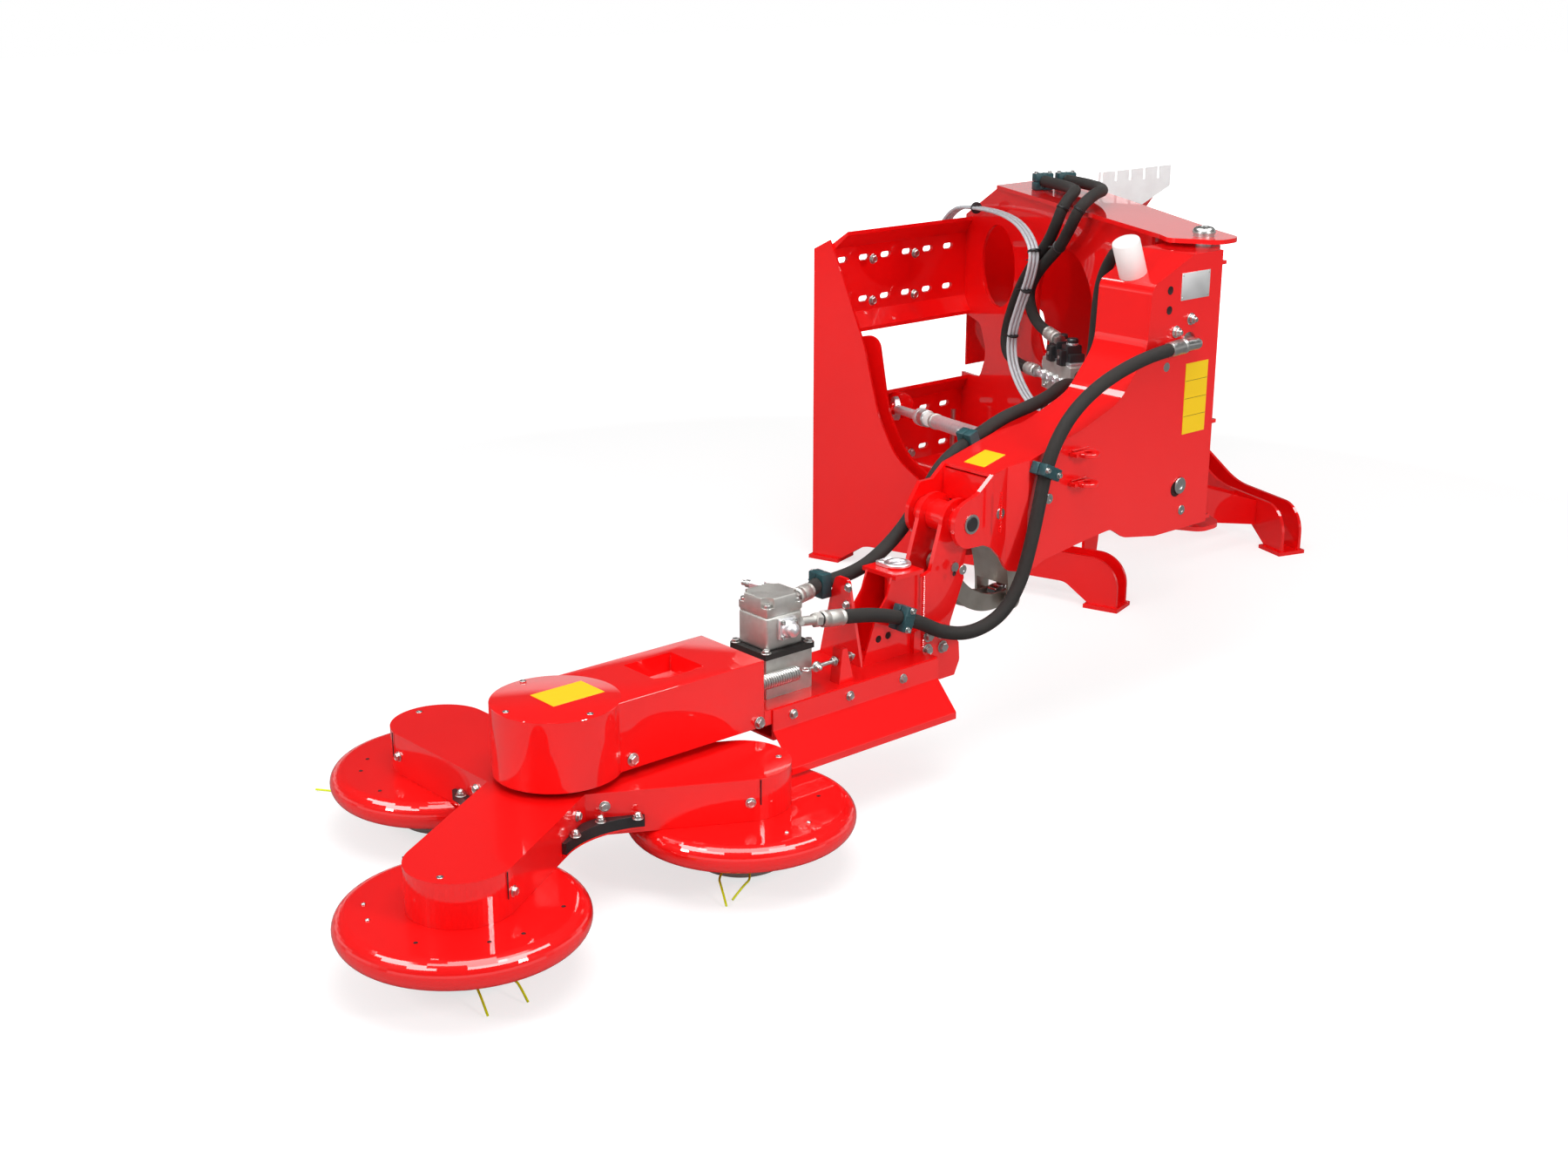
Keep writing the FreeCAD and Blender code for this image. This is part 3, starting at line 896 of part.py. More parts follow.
def hoses():
    routes = {"main_hose": [MAIN_ROUTE], "motor_hose": [MOTOR_ROUTE], "loop_hose": [LOOP_ROUTE],
              "tower_hoses": [TOWER_ROUTE_1, TOWER_ROUTE_2]}
    for name, lines in routes.items():
        save(name, *[hose(name, line, HOSE_DIAMETER) for line in lines])
    save("control_cables", hose("control_cables", CABLE_ROUTE, CABLE_BUNDLE))

    held = [hose("clamp hole", line, HOSE_DIAMETER + 2 * CLAMP_FIT)
            for line in (MAIN_ROUTE, MOTOR_ROUTE, TOWER_ROUTE_1, TOWER_ROUTE_2)]
    nose_far = BOOM_Y + CHEEK_OUT
    near = HINGE_Y - HINGE_TO_ARM_FACE
    near_clamp = clamp((-621, MAIN_HOSE_Y, 694), (-34, 0, -74), (0, -1, 0)).cut(held[0])
    near_clamp = near_clamp.cut(box((-700, near - CLAMP_FIT, 600), (-500, near + 40, 800)))
    far_clamp = clamp((-630, -1239, 723), (-115, -3, -45), (0, 1, 0)).cut(held[1])
    far_clamp = far_clamp.cut(box((-700, nose_far - 60, 600), (-500, nose_far + CLAMP_FIT, 800)))
    save("arm_hose_clamps", near_clamp, far_clamp)
    near = BOOM_Y - POST_OUT
    boom_near = clamp((-1037, -1430, 399), (-103, 0, 37), (0, -1, 0)).cut(held[0])
    boom_near = boom_near.cut(box((-1100, near - CLAMP_FIT, 300), (-950, near + 40, 500)))
    boom_far = clamp((-1151.3, -1267, 468), (-1, 0, 0), (0, 1, 0)).cut(held[1])
    save("boom_hose_clamps", boom_near, boom_far)
    foot = TOWER_TOP + CAP_PLATE + CLAMP_DEPTH / 2 + CLAMP_FIT
    tower = [clamp((x, y, foot), (-45, -106, 0), (0, 0, 1)).cut(hole)
             for (x, y), hole in (((512, -428), held[2]), ((580, -460), held[3]))]
    save("tower_hose_clamps", *tower)


side_inner_plate = side_plates()
tower_far_wall = tower(side_inner_plate)
lower_panel = hitch_panels(tower_far_wall)
stay_lug(lower_panel)
arm()
fold_linkage()
fold_cylinder()
stay()
post()
beam()
boom_brackets()
belt_cover()
motor()
star()
fittings()
hoses()
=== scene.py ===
import bpy, json, math
from mathutils import Matrix, Vector


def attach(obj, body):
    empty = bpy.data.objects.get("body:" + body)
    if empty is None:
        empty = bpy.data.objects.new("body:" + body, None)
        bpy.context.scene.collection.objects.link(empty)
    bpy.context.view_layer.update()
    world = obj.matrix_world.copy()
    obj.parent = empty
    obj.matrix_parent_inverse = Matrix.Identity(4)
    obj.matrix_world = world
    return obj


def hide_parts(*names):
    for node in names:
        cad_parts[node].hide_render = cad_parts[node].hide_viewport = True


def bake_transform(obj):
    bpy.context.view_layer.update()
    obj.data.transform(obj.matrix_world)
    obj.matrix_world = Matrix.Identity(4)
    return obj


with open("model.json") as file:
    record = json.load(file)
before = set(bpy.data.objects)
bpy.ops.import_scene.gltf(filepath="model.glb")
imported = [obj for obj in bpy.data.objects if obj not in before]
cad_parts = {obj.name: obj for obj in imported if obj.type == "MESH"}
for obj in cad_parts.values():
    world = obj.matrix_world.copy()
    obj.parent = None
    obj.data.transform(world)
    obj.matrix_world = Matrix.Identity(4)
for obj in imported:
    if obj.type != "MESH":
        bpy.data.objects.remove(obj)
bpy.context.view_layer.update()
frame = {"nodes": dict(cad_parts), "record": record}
nodes = frame["nodes"]
bpy.ops.object.select_all(action="DESELECT")
print("frame loaded:", len(nodes), "nodes")


# camera
cameraPlace = {"position": (-4.1313, -4.5764, 1.9104), "heading": 49.09, "downwards": 18.07, "lens": 45.65,
               "sensor": 36}
cameraData = bpy.data.cameras.new("camera")
cameraData.lens = cameraPlace["lens"]
cameraData.sensor_width = cameraPlace["sensor"]
camera = bpy.data.objects.new("camera", cameraData)
camera.location = cameraPlace["position"]
camera.rotation_euler = (math.radians(90 - cameraPlace["downwards"]), 0,
                         math.radians(cameraPlace["heading"] - 90))
bpy.context.scene.collection.objects.link(camera)
bpy.context.scene.camera = camera


# shader building
class Wire:
    # a shader socket that can stand in a Python sum
    def __init__(self, tree, socket):
        self.tree, self.socket = tree, socket

    def sum(self, operation, first, second):
        node = self.tree.nodes.new("ShaderNodeMath")
        node.operation = operation
        for slot, value in zip(node.inputs, (first, second)):
            if isinstance(value, Wire):
                self.tree.links.new(value.socket, slot)
            else:
                slot.default_value = value
        return Wire(self.tree, node.outputs[0])

    def __add__(self, other):
        return self.sum("ADD", self, other)

    def __radd__(self, other):
        return self.sum("ADD", other, self)

    def __sub__(self, other):
        return self.sum("SUBTRACT", self, other)

    def __rsub__(self, other):
        return self.sum("SUBTRACT", other, self)

    def __mul__(self, other):
        return self.sum("MULTIPLY", self, other)

    def __rmul__(self, other):
        return self.sum("MULTIPLY", other, self)

    def __gt__(self, other):
        return self.sum("GREATER_THAN", self, other)

    def __lt__(self, other):
        return self.sum("LESS_THAN", self, other)


class Shading:
    # a node tree, with one way of adding nodes to it
    def __init__(self, tree):
        self.tree = tree

    def node(self, kind, settings=None, output=0, sockets=None, **values):
        node = self.tree.nodes.new(kind)
        for name, value in (settings or {}).items():
            setattr(node, name, value)
        for number, value in (sockets or {}).items():
            self.feed(node.inputs[number], value)
        for name, value in values.items():
            self.feed(node.inputs[name.replace("_", " ")], value)
        return Wire(self.tree, node.outputs[output])

    def feed(self, slot, value):
        if isinstance(value, Wire):
            self.tree.links.new(value.socket, slot)
        else:
            slot.default_value = value

    def ramp(self, value, low, high):
        return self.node("ShaderNodeMapRange", Value=value, From_Min=low, From_Max=high)


edgeRounding = {"radius": 0.0012, "samples": 4}


class Finish(Shading):
    # one material with its Principled shader
    def __init__(self, name):
        self.material = bpy.data.materials.new(name)
        self.material.use_nodes = True
        super().__init__(self.material.node_tree)
        self.shader = self.tree.nodes["Principled BSDF"]
        self.coordinates = self.node("ShaderNodeTexCoord", output="Object")

    def axis(self, letter):
        return self.node("ShaderNodeSeparateXYZ", output="XYZ".index(letter), Vector=self.coordinates)

    def noise(self, scale, detail, stretch=None):
        place = self.coordinates
        if stretch:
            place = self.node("ShaderNodeMapping", Vector=place, Scale=stretch)
        return self.node("ShaderNodeTexNoise", Vector=place, Scale=scale, Detail=detail)

    def blend(self, factor, first, second):
        # the mix node's colour sockets have no names of their own, so they go by number
        return self.node("ShaderNodeMix", {"data_type": "RGBA"}, 2, {0: factor, 6: first, 7: second})

    def bump(self, height, strength, distance, edge):
        rounded = self.node("ShaderNodeBevel", {"samples": edgeRounding["samples"]}, Radius=edge)
        return self.node("ShaderNodeBump", Height=height, Strength=strength, Distance=distance,
                         Normal=rounded)

    def set(self, **values):
        for name, value in values.items():
            self.feed(self.shader.inputs[name.replace("_", " ")], value)
        return self.material


def rgb(red, green, blue):
    return (red, green, blue, 1.0)


# what all paints, all metals and all plastics share
paintBase = {"cloudScale": 2.2, "spread": 0.05, "coatRoughness": 0.03, "coatIndex": 1.8, "reflection": 0.12,
             "peelDepth": 0.0004}
metalBase = {"spread": 0.12, "grainDepth": 0.0003, "edge": 0.0004}
plasticBase = {"cloudScale": 14, "spread": 0.08, "grainDepth": 0.0004}


def makePaint(name, look):
    finish = Finish(name)
    base = paintBase
    cloud = finish.ramp(finish.noise(base["cloudScale"], 3), 0.3, 0.7)
    peel = finish.noise(look["peelScale"], 1)
    colour = finish.blend(cloud, look["colour"], look["second"])
    return finish.set(Base_Color=colour, Roughness=look["roughness"] + base["spread"] * cloud,
                      Coat_Weight=look["coat"], Coat_Roughness=base["coatRoughness"],
                      Coat_IOR=base["coatIndex"], Specular_IOR_Level=base["reflection"],
                      Normal=finish.bump(peel, look["peel"], base["peelDepth"], edgeRounding["radius"]))


def makeMetal(name, look):
    finish = Finish(name)
    base = metalBase
    cloud = finish.ramp(finish.noise(look["cloudScale"], 4), 0.35, 0.65)
    grain = finish.noise(look["grainScale"], 2, look["stretch"])
    colour = finish.blend(cloud, look["colour"], look["second"])
    return finish.set(Base_Color=colour, Metallic=1.0, Roughness=look["roughness"] + base["spread"] * cloud,
                      Normal=finish.bump(grain, look["grain"], base["grainDepth"], base["edge"]))


def makePlastic(name, look):
    finish = Finish(name)
    base = plasticBase
    cloud = finish.ramp(finish.noise(base["cloudScale"], 3), 0.3, 0.7)
    grain = finish.noise(look["grainScale"], 2)
    colour = finish.blend(cloud, look["colour"], look["second"])
    edge = look.get("edge", edgeRounding["radius"])
    return finish.set(Base_Color=colour, Roughness=look["roughness"] + base["spread"] * cloud,
                      Normal=finish.bump(grain, look["grain"], base["grainDepth"], edge))


paintLooks = {
    "redPowderCoat": {"colour": rgb(0.92, 0.003, 0.003), "second": rgb(0.88, 0.002, 0.003), "roughness": 0.42,
                      "coat": 1.0, "peelScale": 420, "peel": 0.04},
    "cylinderPaint": {"colour": rgb(0.016, 0.016, 0.018), "second": rgb(0.022, 0.022, 0.024),
                      "roughness": 0.35, "coat": 0.3, "peelScale": 500, "peel": 0.05},
    "labelYellow": {"colour": rgb(0.93, 0.60, 0.01), "second": rgb(0.90, 0.57, 0.01), "roughness": 0.4,
                    "coat": 0.2, "peelScale": 300, "peel": 0.02},
    "labelLine": {"colour": rgb(0.02, 0.018, 0.01), "second": rgb(0.03, 0.026, 0.016), "roughness": 0.45,
                  "coat": 0.1, "peelScale": 300, "peel": 0.02},
    "stickerWhite": {"colour": rgb(0.82, 0.82, 0.80), "second": rgb(0.77, 0.77, 0.75), "roughness": 0.4,
                     "coat": 0.2, "peelScale": 300, "peel": 0.02},
}
metalLooks = {
    "zincPlate": {"colour": rgb(0.66, 0.66, 0.65), "second": rgb(0.54, 0.54, 0.52), "roughness": 0.28,
                  "cloudScale": 40, "grainScale": 900, "grain": 0.04, "stretch": None},
    "galvanised": {"colour": rgb(0.90, 0.91, 0.93), "second": rgb(0.80, 0.81, 0.84), "roughness": 0.38,
                   "cloudScale": 60, "grainScale": 500, "grain": 0.04, "stretch": None},
    "stainlessPlate": {"colour": rgb(0.55, 0.52, 0.47), "second": rgb(0.47, 0.44, 0.39), "roughness": 0.34,
                       "cloudScale": 18, "grainScale": 700, "grain": 0.12, "stretch": (1, 1, 0.05)},
    "castAluminium": {"colour": rgb(0.62, 0.61, 0.58), "second": rgb(0.53, 0.52, 0.49), "roughness": 0.50,
                      "cloudScale": 30, "grainScale": 600, "grain": 0.35, "stretch": None},
    "typePlate": {"colour": rgb(0.95, 0.95, 0.95), "second": rgb(0.90, 0.90, 0.90), "roughness": 0.55,
                  "cloudScale": 20, "grainScale": 900, "grain": 0.06, "stretch": (1, 1, 0.05)},
    "hardChrome": {"colour": rgb(0.80, 0.80, 0.81), "second": rgb(0.76, 0.76, 0.77), "roughness": 0.07,
                   "cloudScale": 10, "grainScale": 900, "grain": 0.02, "stretch": None},
}
plasticLooks = {
    "hoseRubber": {"colour": rgb(0.014, 0.012, 0.011), "second": rgb(0.020, 0.017, 0.015), "roughness": 0.80,
                   "grainScale": 900, "grain": 0.5},
    "trimmerPlastic": {"colour": rgb(0.016, 0.015, 0.015), "second": rgb(0.026, 0.024, 0.024),
                       "roughness": 0.35, "grainScale": 700, "grain": 0.2},
    "blackPlastic": {"colour": rgb(0.014, 0.014, 0.015), "second": rgb(0.022, 0.022, 0.024),
                     "roughness": 0.32, "grainScale": 600, "grain": 0.15},
    "greenPlastic": {"colour": rgb(0.010, 0.052, 0.062), "second": rgb(0.016, 0.070, 0.080),
                     "roughness": 0.40, "grainScale": 700, "grain": 0.2},
    "greyCable": {"colour": rgb(0.60, 0.62, 0.65), "second": rgb(0.52, 0.54, 0.57), "roughness": 0.22,
                  "grainScale": 500, "grain": 0.05},
    "whitePlastic": {"colour": rgb(0.90, 0.90, 0.88), "second": rgb(0.86, 0.86, 0.84), "roughness": 0.42,
                     "grainScale": 600, "grain": 0.1},
    "glidePlate": {"colour": rgb(0.34, 0.32, 0.30), "second": rgb(0.27, 0.26, 0.24), "roughness": 0.45,
                   "grainScale": 200, "grain": 0.3},
    "trimmerLine": {"colour": rgb(0.86, 0.98, 0.01), "second": rgb(0.80, 0.94, 0.01), "roughness": 0.35,
                    "grainScale": 400, "grain": 0.05, "edge": 0.0001},
    # painted shade: a near-black red that stands for the shade inside holes and slits
    "paintedHoleShade": {"colour": rgb(0.030, 0.002, 0.003), "second": rgb(0.022, 0.002, 0.002), "roughness": 0.7,
                 "grainScale": 400, "grain": 0.05},
}
finishes = {name: makePaint(name, look) for name, look in paintLooks.items()}
finishes.update({name: makeMetal(name, look) for name, look in metalLooks.items()})
finishes.update({name: makePlastic(name, look) for name, look in plasticLooks.items()})
print("finishes made:", len(finishes))


# the solids of the frame take their finishes by material slot
slotFinish = {"red_paint": "redPowderCoat", "zinc": "zincPlate", "stainless": "stainlessPlate",
              "cast_aluminium": "castAluminium", "black_rubber": "hoseRubber",
              "cylinder_paint": "cylinderPaint",
              "chrome_rod": "hardChrome", "trimmer_plastic": "trimmerPlastic",
              "green_plastic": "greenPlastic", "white_plastic": "whitePlastic", "grey_pvc": "greyCable"}
for entry in frame["record"]["subparts"]:
    solid = nodes[entry["node"]]
    solid.data.materials.clear()
    solid.data.materials.append(finishes[slotFinish[entry["material_slot"]]])
    solid.data.shade_flat()
nodeFinish = {"coupler_holder": "typePlate", "stay_sleeve": "galvanised", "stay_screw": "galvanised",
              "star_bumpers": "blackPlastic"}
for name, finish in nodeFinish.items():
    nodes[name].data.materials[0] = finishes[finish]
print("solids dressed")


# modelling tools; all sizes here are in millimetres
millimetre = 0.001


def metres(point):
    return Vector(point) * millimetre


def only(*pieces):
    bpy.ops.object.select_all(action="DESELECT")
    for piece in pieces:
        piece.select_set(True)
    bpy.context.view_layer.objects.active = pieces[0]


def editing(active):
    bpy.ops.object.mode_set(mode="EDIT" if active else "OBJECT")
    if active:
        bpy.ops.mesh.select_all(action="SELECT")


def turned(steps, sides=32):
    # a disc drawn out along Z through (radius, height) steps
    radius, height = steps[0]
    bpy.ops.mesh.primitive_circle_add(vertices=sides, radius=radius * millimetre, fill_type="NGON",
                                      location=(0, 0, 0))
    editing(True)
    bpy.ops.transform.translate(value=(0, 0, height * millimetre))
    for nextRadius, nextHeight in steps[1:]:
        rise = (nextHeight - height) * millimetre
        bpy.ops.mesh.extrude_region_move(TRANSFORM_OT_translate={"value": (0, 0, rise)})
        bpy.ops.transform.resize(value=(nextRadius / radius, nextRadius / radius, 1))
        radius, height = nextRadius, nextHeight
    bpy.ops.mesh.select_all(action="SELECT")
    bpy.ops.mesh.normals_make_consistent(inside=False)
    editing(False)
    return bpy.context.object


def block(low, high, bevel=0.0, segments=2):
    size = [(b - a) * millimetre for a, b in zip(low, high)]
    middle = [(b + a) / 2 * millimetre for a, b in zip(low, high)]
    bpy.ops.mesh.primitive_cube_add(size=1, location=(0, 0, 0))
    editing(True)
    bpy.ops.transform.resize(value=size)
    bpy.ops.transform.translate(value=middle)
    if bevel:
        bpy.ops.mesh.bevel(offset=bevel * millimetre, segments=segments, affect="EDGES")
    editing(False)
    return bpy.context.object


def painted(part, finish):
    part.data.materials.clear()
    part.data.materials.append(finishes[finish])
    return part


def placed(part, at, direction=(0, 0, 1), spin=0, size=1.0):
    # the part's own Z is laid along a direction, and its origin at a point
    turn = Vector(direction).to_track_quat("Z", "Y").to_matrix().to_4x4()
    turn = turn @ Matrix.Rotation(math.radians(spin), 4, "Z")
    part.data.transform(Matrix.Translation(metres(at)) @ turn @ Matrix.Scale(size, 4))
    return part


def another(master):
    part = bpy.data.objects.new(master.name, master.data.copy())
    bpy.context.scene.collection.objects.link(part)
    return part


def merged(parts):
    only(*parts)
    if len(parts) > 1:
        bpy.ops.object.join()
    return bpy.context.object


def shaped(part, kind, **settings):
    # adds one modifier and applies it
    only(part)
    modifier = part.modifiers.new(kind, kind)
    for name, value in settings.items():
        setattr(modifier, name, value)
    bpy.ops.object.modifier_apply(modifier=modifier.name)
    return part


def cutBy(part, tool):
    shaped(part, "BOOLEAN", operation="DIFFERENCE", solver="EXACT", object=tool)
    bpy.data.objects.remove(tool)
    return part


def assembled(name, body, parts, stands=(), angle=32):
    piece = merged(parts)
    piece.name = name
    piece.data.name = name
    bpy.ops.object.shade_smooth_by_angle(angle=math.radians(angle))
    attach(piece, body)
    if stands:
        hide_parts(*stands)
    return piece


def rod(start, end, radius, finish, sides=24, bevel=0.6):
    length = (Vector(end) - Vector(start)).length
    steps = [(radius - bevel, 0), (radius, bevel), (radius, length - bevel), (radius - bevel, length)]
    return painted(placed(turned(steps, sides), start, Vector(end) - Vector(start)), finish)


# fasteners whose head is one unit in radius; the hole is a flat dark disc of painted shade, not a bolt
def makeFasteners():
    washer = [(1.24, 0.0), (1.30, 0.05), (1.30, 0.17), (1.24, 0.22)]
    hexHead = [(0.92, 0.22), (1.0, 0.30), (1.0, 0.80), (0.88, 0.92), (0.70, 0.94), (0.66, 0.90)]
    nut = [(0.92, 0.22), (1.0, 0.30), (1.0, 0.85), (0.88, 0.97)]
    stud = [(0.52, 0.9), (0.52, 1.35), (0.50, 1.37), (0.52, 1.40), (0.52, 1.55), (0.42, 1.66)]
    dome = [(1.0, 0.0), (1.0, 0.12), (0.93, 0.34), (0.76, 0.50), (0.48, 0.58), (0.44, 0.56), (0.40, 0.26)]
    socket = [(0.96, 0.2), (1.0, 0.26), (1.0, 1.1), (0.94, 1.16), (0.62, 1.16), (0.56, 0.7)]
    capNut = [(0.86, 0.95), (0.80, 1.25), (0.60, 1.52), (0.30, 1.68), (0.05, 1.72)]
    flush = [(1.0, 0.0), (1.0, 0.10), (0.93, 0.16), (0.42, 0.16), (0.36, 0.06)]
    hole = [(1.0, 0.0), (1.0, 0.03), (0.95, 0.05), (0.90, 0.03)]
    fasteners = {
        "bolt": merged([turned(washer, 24), turned(hexHead, 6)]),
        "nut": merged([turned(washer, 24), turned(nut, 6), turned(stud, 16)]),
        "capNut": merged([turned(washer, 24), turned(nut, 6), turned(capNut, 20)]),
        "dome": turned(dome, 24),
        "socket": merged([turned(washer, 24), turned(socket, 24)]),
        "pin": turned(flush, 32),
        "hole": turned(hole, 20),
    }
    for name, master in fasteners.items():
        master.data.transform(Matrix.Scale(1 / millimetre, 4))
        # the hole disc takes the painted shade; all other heads are zinc
        painted(master, "paintedHoleShade" if name == "hole" else "zincPlate")
    return fasteners


fasteners = makeFasteners()
fastenerTurn = 11


def fastened(kind, size, direction, places):
    # size is the head's radius across its corners, and each head is turned on from the last
    return [placed(another(fasteners[kind]), at, direction, fastenerTurn * i, size * millimetre)
            for i, at in enumerate(places)]


curveLook = {"resolution": 10, "order": 3, "roundness": 5}


def route(points):
    curve = bpy.data.curves.new("route", "CURVE")
    curve.dimensions = "3D"
    curve.resolution_u = curveLook["resolution"]
    spline = curve.splines.new("NURBS")
    spline.points.add(len(points) - 1)
    for knot, point in zip(spline.points, points):
        knot.co = (*metres(point), 1)
    spline.order_u = curveLook["order"]
    spline.use_endpoint_u = True
    line = bpy.data.objects.new("route", curve)
    bpy.context.scene.collection.objects.link(line)
    return line


def middleLine(line):
    # the points along a curve that has no bevel, in metres
    mesh = bpy.data.meshes.new_from_object(line)
    points = [vertex.co.copy() for vertex in mesh.vertices]
    bpy.data.meshes.remove(mesh)
    return points


def tube(points, radius, finish):
    line = route(points)
    path = middleLine(line)
    line.data.bevel_depth = radius * millimetre
    line.data.bevel_resolution = curveLook["roundness"]
    line.data.use_fill_caps = True
    part = bpy.data.objects.new("tube", bpy.data.meshes.new_from_object(line))
    bpy.context.scene.collection.objects.link(part)
    bpy.data.objects.remove(line)
    part.data.shade_smooth()
    return painted(part, finish), path


def lengthOf(path):
    return sum((b - a).length for a, b in zip(path, path[1:]))


def nearest(path, point):
    # index of the path's point that lies next to a place
    return min(range(len(path)), key=lambda i: (path[i] - metres(point)).length)


# hoses and cables: the same points as in the part's source
hoseRoutes = {
    "main": [(-118, -1487, 934), (-213, -1487, 930), (-331, -1487, 911), (-440, -1487, 878),
             (-530, -1487, 828), (-590, -1487, 762), (-624, -1487, 688), (-644, -1488, 600),
             (-668, -1488, 510), (-696, -1486, 424), (-750, -1478, 352), (-836, -1460, 322),
             (-920, -1442, 340), (-987, -1430, 381), (-1090, -1430, 418), (-1168, -1427, 436),
             (-1245, -1425, 446)],
    "motor": [(-1256, -1330, 484), (-1205, -1310, 480), (-1175, -1270, 470), (-1120, -1264, 467),
              (-1010, -1252, 470), (-920, -1240, 498), (-840, -1236, 550), (-775, -1236, 622),
              (-715, -1237, 690), (-600, -1240, 735), (-510, -1244, 768), (-416, -1246, 782),
              (-300, -1210, 786), (-150, -1120, 780), (0, -1040, 744), (90, -985, 704), (150, -945, 678),
              (178, -910, 670), (189.7, -886.6, 670)],
    "towerNear": [(523, -402, 1207), (478, -508, 1208), (430, -600, 1210), (372, -680, 1213),
                  (304, -740, 1220), (228, -766, 1192), (222, -744, 1130), (250, -694, 1075),
                  (290, -612, 1010), (326, -530, 930), (352, -470, 845), (368, -430, 760), (364, -436, 698),
                  (336, -512, 674), (295, -604, 680)],
    "towerFar": [(592, -432, 1207), (560, -510, 1209), (510, -620, 1212), (440, -720, 1216),
                 (356, -800, 1222), (262, -856, 1230), (176, -872, 1200), (184, -828, 1130),
                 (222, -762, 1070), (268, -668, 1010), (302, -594, 950), (313, -566, 900), (301, -594, 846),
                 (274, -656, 815), (244, -724, 808)],
    "loop": [(189.6, -886, 716), (171, -929.3, 716), (150, -966, 790), (142, -978, 900), (146, -984, 1010),
             (124, -1044, 1096), (40, -1142, 1118), (-40, -1218, 1062), (-66, -1226, 985),
             (-67, -1240, 950), (-67, -1289.7, 950)],
    "cables": [(570, 40, 1030), (548, -20, 1086), (480, -180, 1106), (375, -395, 1118), (284, -560, 1106),
               (228, -664, 1052), (230, -650, 975), (256, -590, 880), (280, -535, 780), (276, -542, 700),
               (252, -600, 640), (222, -676, 598), (214, -735, 586), (224, -769, 602), (224, -769, 649.7)],
}
hoseLook = {"radius": 17, "cableRadius": 5.2, "cableSpread": 5.8, "cables": 3, "parting": -430}


def declared(path):
    lengthOf(path)


def held(piece):
    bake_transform(piece)


def hosePiece(name, part):
    part.name = name
    part.data.name = name
    return part


def makeMainHose():
    part, path = tube(hoseRoutes["main"], hoseLook["radius"], "hoseRubber")
    piece = hosePiece("main_hose_run", part)
    held(piece)
    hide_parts("main_hose")
    declared(path)


def makeMotorHose():
    # one tube in two lengths, parted where it lies on the arm
    parting = hoseLook["parting"] * millimetre
    whole, path = tube(hoseRoutes["motor"], hoseLook["radius"], "hoseRubber")
    boomRun, frameRun = "motor_hose_boom_run", "motor_hose_frame_run"
    halves = {boomRun: whole, frameRun: another(whole)}
    for name, part in halves.items():
        only(part)
        editing(True)
        bpy.ops.mesh.bisect(plane_co=(parting, 0, 0), plane_no=(1, 0, 0), clear_outer=name == boomRun,
                            clear_inner=name == frameRun)
        editing(False)
        hosePiece(name, part)
        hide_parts("motor_hose")
    held(halves[boomRun])
    held(halves[frameRun])
    split = next(i for i, point in enumerate(path) if point.x > parting)
    declared(path[:split + 1])
    declared(path[split:])


def makeTowerHoses():
    for name, key in (("tower_hose_near", "towerNear"), ("tower_hose_far", "towerFar")):
        part, path = tube(hoseRoutes[key], hoseLook["radius"], "hoseRubber")
        piece = hosePiece(name, part)
        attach(piece, "frame")
        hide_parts("tower_hoses")
        declared(path)


def makeLoopHose():
    part, path = tube(hoseRoutes["loop"], hoseLook["radius"], "hoseRubber")
    piece = hosePiece("loop_hose_run", part)
    held(piece)
    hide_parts("loop_hose")
    declared(path)


def makeCables():
    # sheaths side by side, spread along the wall that they hang on
    across = Vector((-0.919, 0.394, 0)) * 2 * hoseLook["cableSpread"]
    for i in range(hoseLook["cables"]):
        points = [Vector(point) + across * (i - 1) for point in hoseRoutes["cables"]]
        part, path = tube(points, hoseLook["cableRadius"], "greyCable")
        part.name = f"control_cable_{i + 1}"
        part.data.name = part.name
        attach(part, "frame")
        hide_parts("control_cables")
        declared(path)


makeMainHose()
makeMotorHose()
makeTowerHoses()
makeLoopHose()
makeCables()
print("hoses laid")


def seated(part, at, along, outwards):
    # the part's X is laid along one direction and its Z points outwards
    up = Vector(outwards).normalized()
    forward = Vector(along)
    forward = (forward - up * forward.dot(up)).normalized()
    turn = Matrix((forward, up.cross(forward), up)).transposed().to_4x4()
    part.data.transform(Matrix.Translation(metres(at)) @ turn)
    return part


# hose ends: a steel sleeve pressed over the hose, then a nut and a stem
def hoseEnd(end, before, stem=40, finish="zincPlate"):
    outwards = (Vector(end) - Vector(before)).normalized()
    start = Vector(end) - outwards * 20
    sleeve = turned([(17.4, 0), (19.4, 1), (19.4, 8), (18.8, 9), (18.8, 11), (19.4, 12), (19.4, 44),
                     (18.8, 45), (18.8, 47), (19.4, 48), (19.4, 60), (16.5, 63), (13.5, 64)], 32)
    ring = turned([(15.5, 64), (15.5, 68)], 32)
    nut = turned([(14.5, 68), (17.5, 69.5), (17.5, 85), (14.5, 86.5)], 6)
    neck = turned([(11, 86), (11, 86 + stem)], 24)
    parts = [painted(sleeve, "castAluminium"), painted(ring, "blackPlastic"), painted(nut, finish),
             painted(neck, finish)]
    return [placed(part, start, outwards) for part in parts]


# hydraulic motor with its cap, port flange and drain
motorLook = {"west": -1429, "east": -1323, "south": -1400, "north": -1300, "foot": 398, "joint": 478,
             "top": 520, "scallop": 21, "bolt": 8.5, "boltInset": 10, "boltRise": 18,
             "port": Vector((-1375, -1412, 446)), "portHalf": 25, "portBolt": 5, "portBoltAt": (-18, 18),
             "farPort": (-1375, -1300, 460), "drain": Vector((-1335, -1305, 504)),
             "drainHeading": Vector((-15, 66, 0))}


